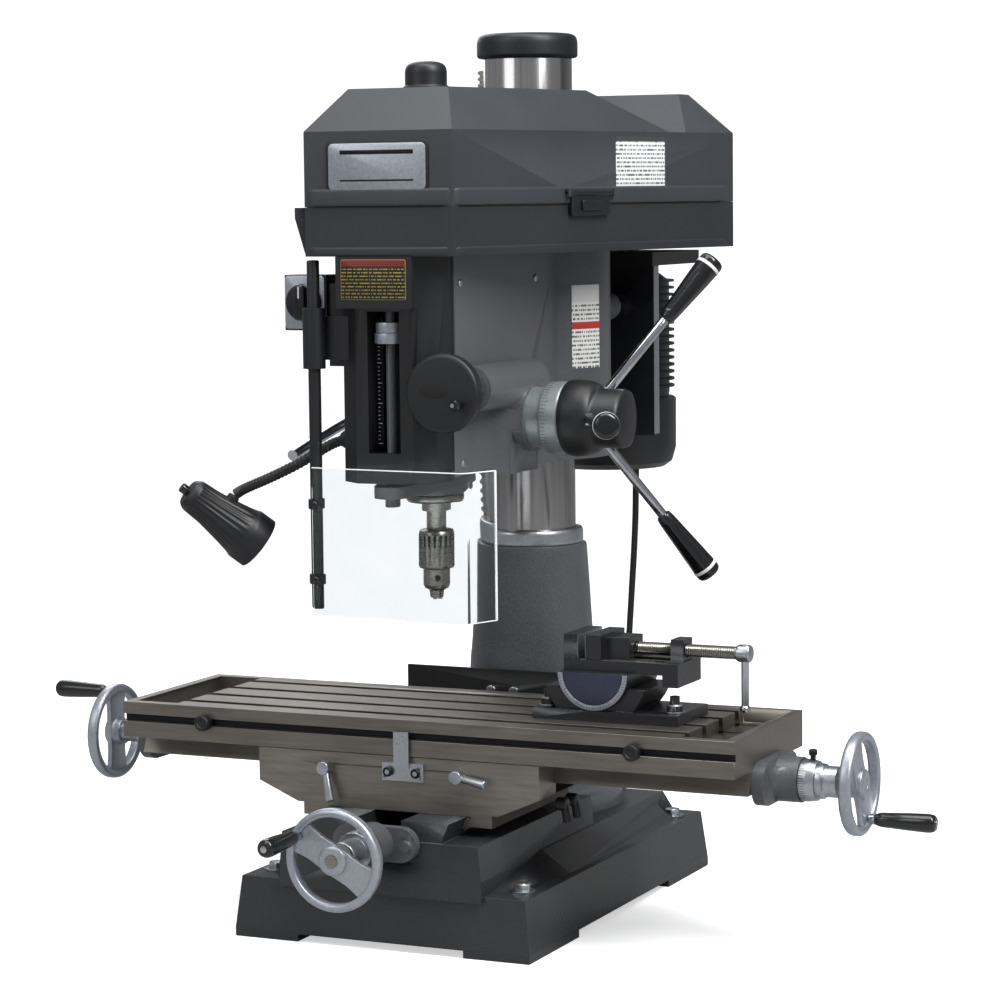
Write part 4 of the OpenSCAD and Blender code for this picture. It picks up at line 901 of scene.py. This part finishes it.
# %% Motor, bracket and switch
fins = []
for k in range(16):
    z = 622 + 9.6 * k
    fins += [(83, z), (83, z + 5.8), (90, z + 6.3), (90, z + 9.1)]
cowl = [(0, 518.4), (40, 518.4), (42, 520.5), (46, 520.5), (48, 518.4), (76, 518.8), (86, 526), (91.5, 545),
        (91.8, 612), (89, 614.5), (82, 615)]
shell = [*cowl, *fins, (80, 776), (70, 783.6), (0, 783.6)]
piece("motor_body", lathe(shell, (0, MOTOR_Y, 0), n=96), "head", MOTOR, ("motor",), 25)
box = slab((-38, MOTOR_Y + 76, 600.3), (38, MOTOR_Y + 130, 720), 4, 6)
cover = prism(rect(70, 112, 5, 0, 660), -1, 2.0, 1.2, (0, 562.6, 0), -X, Z)
piece("motor_box", joined(box, cover), "head", BLACK)
softened("motor_bracket", 1.6, MOTOR, shortest=8)
rods = [peg(8.1, 0, 86, (x, 247, 745), Y) for x in (-64, 64)]
piece("slide_rods", joined(*rods), "head", CHROME)
# A thin bright strip on the bracket's edge: a painted highlight.
piece("bracket_edge_highlight", slab((106.05, 333.5, 572), (106.6, 351, 796), 0.2, 0.2), "head", ZINC)
softened("switch_box", 3, BLACK, shortest=10)
plate = prism(rect(54, 64, 5, -127, 767), 215, 216.6, 0.7, (0, 0, 0), X, Z)
piece("switch_plate", plate, "head", ALLOY)
dial = soften([[0, 216.8], [22.5, 216.8], [23, 219], [22.4, 224], [20.5, 226], [0, 226]], 1.2, 4, False)
dial = lathe(dial, (-127, 0, 767), -Y, 72, ribs=24, depth=0.8, rows=(218, 224))
bar = prism(rect(15, 43, 6, -127, 767), 225, 232.6, 2, (0, 0, 0), X, Z)
tick = prism(rect(2.2, 14, 0.8, -127, 779), 232.4, 232.9, 0.15, (0, 0, 0), X, Z)
piece("switch_dial", joined(dial, bar), "switch", GRIP, ("switch_knob",))
piece("switch_tick", tick, "switch", WHITE)
print("head done:", len(made))

# %% [markdown]
# ## Guard and lamp
# The guard is a folded clear sheet on two collars; strips with a painted glow stand on its cut edges, which
# is what makes it readable. The lamp hangs on a jointed neck, with long ribs down its shade.

# %% Guard
GX, GY = -92.0, -260.0
rod = soften([[0, 402.3], [7.5, 402.3], [7.5, 818.7], [0, 818.7]], 2.5, 4, False)
piece("guard_rod_turned", lathe(rod, (GX, GY, 0), n=48), "guard_rod", BLACK, ("guard_rod",))
fold = soften([[GX, GY - 10.3], [-57, -276], [116, -290], [134, -240]], [0, 10, 10, 0], 8, False)
side_of = np.gradient(fold, axis=0)
side_of = np.stack([side_of[:, 1], -side_of[:, 0]], 1) / np.linalg.norm(side_of, axis=1)[:, None]
sheet = np.vstack([fold + 1.3 * side_of, (fold - 1.3 * side_of)[::-1]])
piece("guard_sheet", prism(sheet, 396, 572, 0.1), "guard", CLEAR, ("chip_guard",))
rim = np.vstack([fold + 1.45 * side_of, (fold - 1.45 * side_of)[::-1]])
edges = [prism(rim, 395.2, 396.2, 0.1), prism(rim, 571.8, 572.8, 0.1),
         slab((132.6, -241.2, 396), (135.4, -239.2, 572), 0.3, 0.3)]
# Edge strips in the finish with a painted glow.
piece("guard_edges", joined(*edges), "guard", EDGE)
collars = [hoop(7.6, 10, z - 6, z + 6, (GX, GY, 0))
           for z in (438, 528)]
piece("guard_collars", joined(*collars), "guard", BLACK)
cap = soften([[0, 0], [4.2, 0], [4.2, 2], [3, 3], [0, 3]], 0.6, 3, False)
caps = [lathe(cap, (GX + 4, GY - 12, z), -Y, 28) for z in (438, 528)]
piece("guard_screws", joined(*caps), "guard", GRIP)

# %% Lamp
neck = smooth_line([[-74.5, -207, 602], [-90, -213, 598], [-108, -220, 588], [-130, -229, 574],
                    [-150, -238, 563], [-168, -246, 554], [-184, -251, 547], [-197, -254, 541],
                    [-205, -255, 536]], 150)
wave = 6.3 + 0.45 * np.cos(np.linspace(0, 2 * math.pi * 37, 150))
socket = soften([[0, 72.1], [11, 72.1], [11, 80], [8, 84], [0, 84]], 1, 3, False)
socket = lathe(socket, (0, -207, 602), -X, 40)
piece("lamp_neck_tube", joined(tube(neck, wave, 24), socket), "head", BLACK, ("lamp_neck",), 60)
rear, mouth = np.array([-255, -291, 543.0]), np.array([-188, -232, 474.0])
down = (mouth - rear) / np.linalg.norm(mouth - rear)
long = float(np.linalg.norm(mouth - rear))
shell = soften([[0, 4], [15.5, 4], [18, 6.5], [21, 12], [22.6, 38], [27.8, 70], [31, 86], [33.4, 92],
                [33.4, long], [31.8, long], [29.4, 92], [24.6, 72], [19.4, 56], [0, 54]],
               [0, 2, 3, 3, 6, 6, 2, 2, 0.8, 0.8, 3, 3, 2, 0], 5, False)
piece("lamp_shell", lathe(shell, rear, down, 144, ribs=24, depth=1.3, rows=(14, 84)), "lamp", BLACK,
      ("lamp_shade",), 45)
bulb = smooth_line([[6, 54], [9, 60], [15.5, 72], [16.8, 82], [13, 92], [5, 97]], 40)
GLASS = finish_of("frosted glass bulb", "#f4f3ee", "#e4e2da", 8.0, (0.25, 0.35), bump=0.002,
                  Subsurface_Weight=0.2)
piece("lamp_bulb", lathe(np.vstack([[[0, 54]], bulb, [[0, 97.6]]]), rear, down, 48), "lamp", GLASS)
foot = np.array([-223.7, -263.4, 510.7])
upward = neck[-1] - foot
upward /= np.linalg.norm(upward)
piece("lamp_joint", peg(7.4, 19, 29.4, foot, upward, n=36, edge=1.2, steps=4), "lamp",
      BLACK)
piece("lamp_switch", peg(6, -6, 6, rear, down, n=32, edge=1.2, steps=4), "lamp_button",
      GRIP, ("lamp_button",))
print("guard and lamp done:", len(made))

# %% [markdown]
# ## The tilting vise
# Black hammered castings, a blue half disc with a bright arc of degrees in front of it, a threaded
# screw with a hanging bar, and two T-bolts.

# %% Vise
softened("vise_base", 2, VISE_BLACK, shortest=4)
softened("vise_body", 1.6, VISE_BLACK, shortest=4)
softened("vise_jaw", 1.6, VISE_BLACK, shortest=4)
t = np.linspace(math.pi, 2 * math.pi, 60)
front = VISE + [0, -50, 0]
half = np.stack([np.cos(t), np.sin(t)], 1)
piece("tilt_disc_face", prism(38 * half, -0.2, 0.8, 0.3, front, X, Z), "vise_body", VISE_BLUE)
arc = np.vstack([44.5 * half, 38.6 * half[::-1]])
piece("tilt_scale", prism(arc, -0.2, 1.0, 0.2, front, X, Z), "vise_body", ALLOY)
ticks = []
for k in range(37):
    a = math.pi + math.pi * k / 36
    out, on = np.array([math.cos(a), 0, math.sin(a)]), np.array([-math.sin(a), 0, math.cos(a)])
    tick = rect(4.6, 0.5, 0.1, 41.2) if k % 6 == 0 else rect(2.6, 0.5, 0.1, 42.2)
    ticks.append(prism(tick, 0.9, 1.15, 0.05, front, out, on))
piece("tilt_scale_marks", joined(*ticks), "vise_body", DARK_MARKS_AND_SHADE)
for name, body, low, high in (("fixed_jaw_plate", "vise_body", -24.2, -23.55),
                              ("moving_jaw_plate", "vise_jaw", -14.45, -13.8)):
    piece(name, slab(VISE + [low, -37.2, 16], VISE + [high, 37.2, 43.6], 0.2, 0.2), body, ZINC)
rails = [slab(VISE + [-40, y, 13.9], VISE + [83, y + 24, 14.25], 0.1, 0.1) for y in (-35, 11)]
piece("bed_rails", joined(*rails), "vise_body", STEEL)
crests = [(8.0 if k % 2 else 6.9, 40 + 1.35 * k) for k in range(92)]
thread = [(0, 16.4), (6.6, 16.4), *crests, (8, 174), (0, 174)]
axis_at = VISE + [0, 0, 26]
piece("vise_thread", lathe(thread, axis_at, X, 40), "vise_screw", STEEL, ("vise_screw",), 20)
boss = soften([[0, 165], [10, 165], [10.5, 168], [10.5, 180], [9, 182], [0, 182]], 1.2, 4, False)
piece("vise_screw_head", lathe(boss, axis_at, X, 48), "vise_screw", ZINC)
bar = soften([[0, -44], [6.5, -44], [6.5, -38], [4.6, -36], [4.6, 28], [6.5, 30], [6.5, 36], [0, 36]],
             1, 4, False)
piece("vise_bar", lathe(bar, VISE + [174, 0, 0], Z, 32), "vise_screw", CHROME)
nuts = []
for x in (VISE[0] - 66, VISE[0] + 96):
    at = (x, VISE[1] - 27.5, 283)
    nuts += [hex_bolt(at, 17, 10, washer=11.5),
             lathe([(0, 0), (5.4, 0), (5.4, 19), (4.6, 20), (0, 20)], at, Z, 28)]
piece("vise_nuts", joined(*nuts), "table", ZINC)
print("vise done:", len(made))

# %% [markdown]
# ## What stays as the CAD made it
# The last nodes are inside, or plain enough to need only a finish.

# %% Carried-over nodes
plain = {"gib_strips": SIDE_IRON, "x_leadscrew": STEEL, "y_leadscrew": STEEL, "elevating_rack": STEEL,
         "v_belts": RUBBER, "spindle_pulley": ALLOY, "idler_pulley": ALLOY, "motor_pulley": ALLOY}
for node, mat in plain.items():
    mesh = frame["nodes"][node].data
    mesh.materials.clear()
    mesh.materials.append(mat)
replaced = set(n for o in bpy.data.objects for n in (o.get("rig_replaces") or ()))
print("left over:", sorted(set(frame["nodes"]) - replaced - set(plain)))

# %% [markdown]
# ## Light and floor
# A pale floor runs up behind. The strongest light stands high on the right, a broad one is overhead, and
# weaker ones are in front on the left and behind. The floor glows for the camera and through the clear
# sheet only: seen in reflections or as bounced light it is dim, so that the black parts stay black.

# %% Studio
t = np.linspace(0, math.pi / 2, 24)
bend = np.stack([np.zeros(24), 3.0 + 2.5 * np.sin(t), 2.5 - 2.5 * np.cos(t)], 1)
sweep_line = np.vstack([[[0, -9.0, 0]], bend, [[0, 5.5, 8.0]]])
wide = np.stack([sweep_line + [-9, 0, 0], sweep_line + [9, 0, 0]], 1)
strips = [[2 * i, 2 * i + 1, 2 * i + 3, 2 * i + 2] for i in range(len(sweep_line) - 1)]
floor_mesh = bpy.data.meshes.new("floor")
floor_mesh.from_pydata(wide.reshape(-1, 3).tolist(), [], strips)
floor_mesh.shade_smooth()
floor = bpy.data.objects.new("floor", floor_mesh)
bpy.context.scene.collection.objects.link(floor)
pale = finish_of("pale floor", "#fbfbfb", "#f6f6f6", 400.0, (0.6, 0.7), bump=0.001)
floor_mesh.materials.append(pale)
tree = pale.node_tree
shader = tree.nodes["Principled BSDF"]
path = add(tree, "ShaderNodeLightPath").outputs
mirrored = add(tree, "ShaderNodeMath", {0: path["Is Glossy Ray"], 1: path["Is Transmission Ray"]},
               operation="SUBTRACT", use_clamp=True).outputs[0]
bounced = add(tree, "ShaderNodeMath", {0: path["Is Diffuse Ray"], 1: mirrored},
              operation="MAXIMUM").outputs[0]
tint = mixed(tree, bounced, linear("#fbfbfb"), linear("#a4a4a4"))
tree.links.new(tint.outputs[2], shader.inputs["Base Color"])
glow = add(tree, "ShaderNodeMapRange", {0: bounced, 3: 0.55, 4: 0.0})
tree.links.new(glow.outputs[0], shader.inputs["Emission Strength"])
shader.inputs["Emission Color"].default_value = (1, 1, 1, 1)
floor.location = (0, 0, -0.0005)
world = bpy.data.worlds.new("studio")
world.use_nodes = True
sky = world.node_tree.nodes["Background"]
sky.inputs["Color"].default_value = linear("#eef0f4")
seen = add(world.node_tree, "ShaderNodeLightPath").outputs["Is Camera Ray"]
strength = add(world.node_tree, "ShaderNodeMapRange", {0: seen, 3: 0.42, 4: 1.2})
world.node_tree.links.new(strength.outputs[0], sky.inputs["Strength"])
bpy.context.scene.world = world
for name, place, aim, size, power in (
        ("key", (-1.4, -2.8, 2.4), (0, 0, 0.55), (1.6, 1.8), 25),
        ("fill", (2.2, -0.9, 3.0), (0, 0, 0.6), (0.9, 2.0), 112),
        ("back", (-1.6, 1.8, 2.0), (0, 0.2, 0.7), (1.2, 1.6), 20),
        ("top", (0.1, -0.4, 3.2), (0, 0, 0.5), (2.2, 2.0), 56)):
    light = bpy.data.objects.new(name, bpy.data.lights.new(name, "AREA"))
    light.data.shape = "RECTANGLE"
    light.data.size, light.data.size_y = size
    light.data.energy = power
    light.location = place
    light.rotation_mode = "QUATERNION"
    light.rotation_quaternion = (Vector(aim) - Vector(place)).to_track_quat("-Z", "Y")
    bpy.context.scene.collection.objects.link(light)
bpy.context.scene.view_settings.view_transform = "Standard"
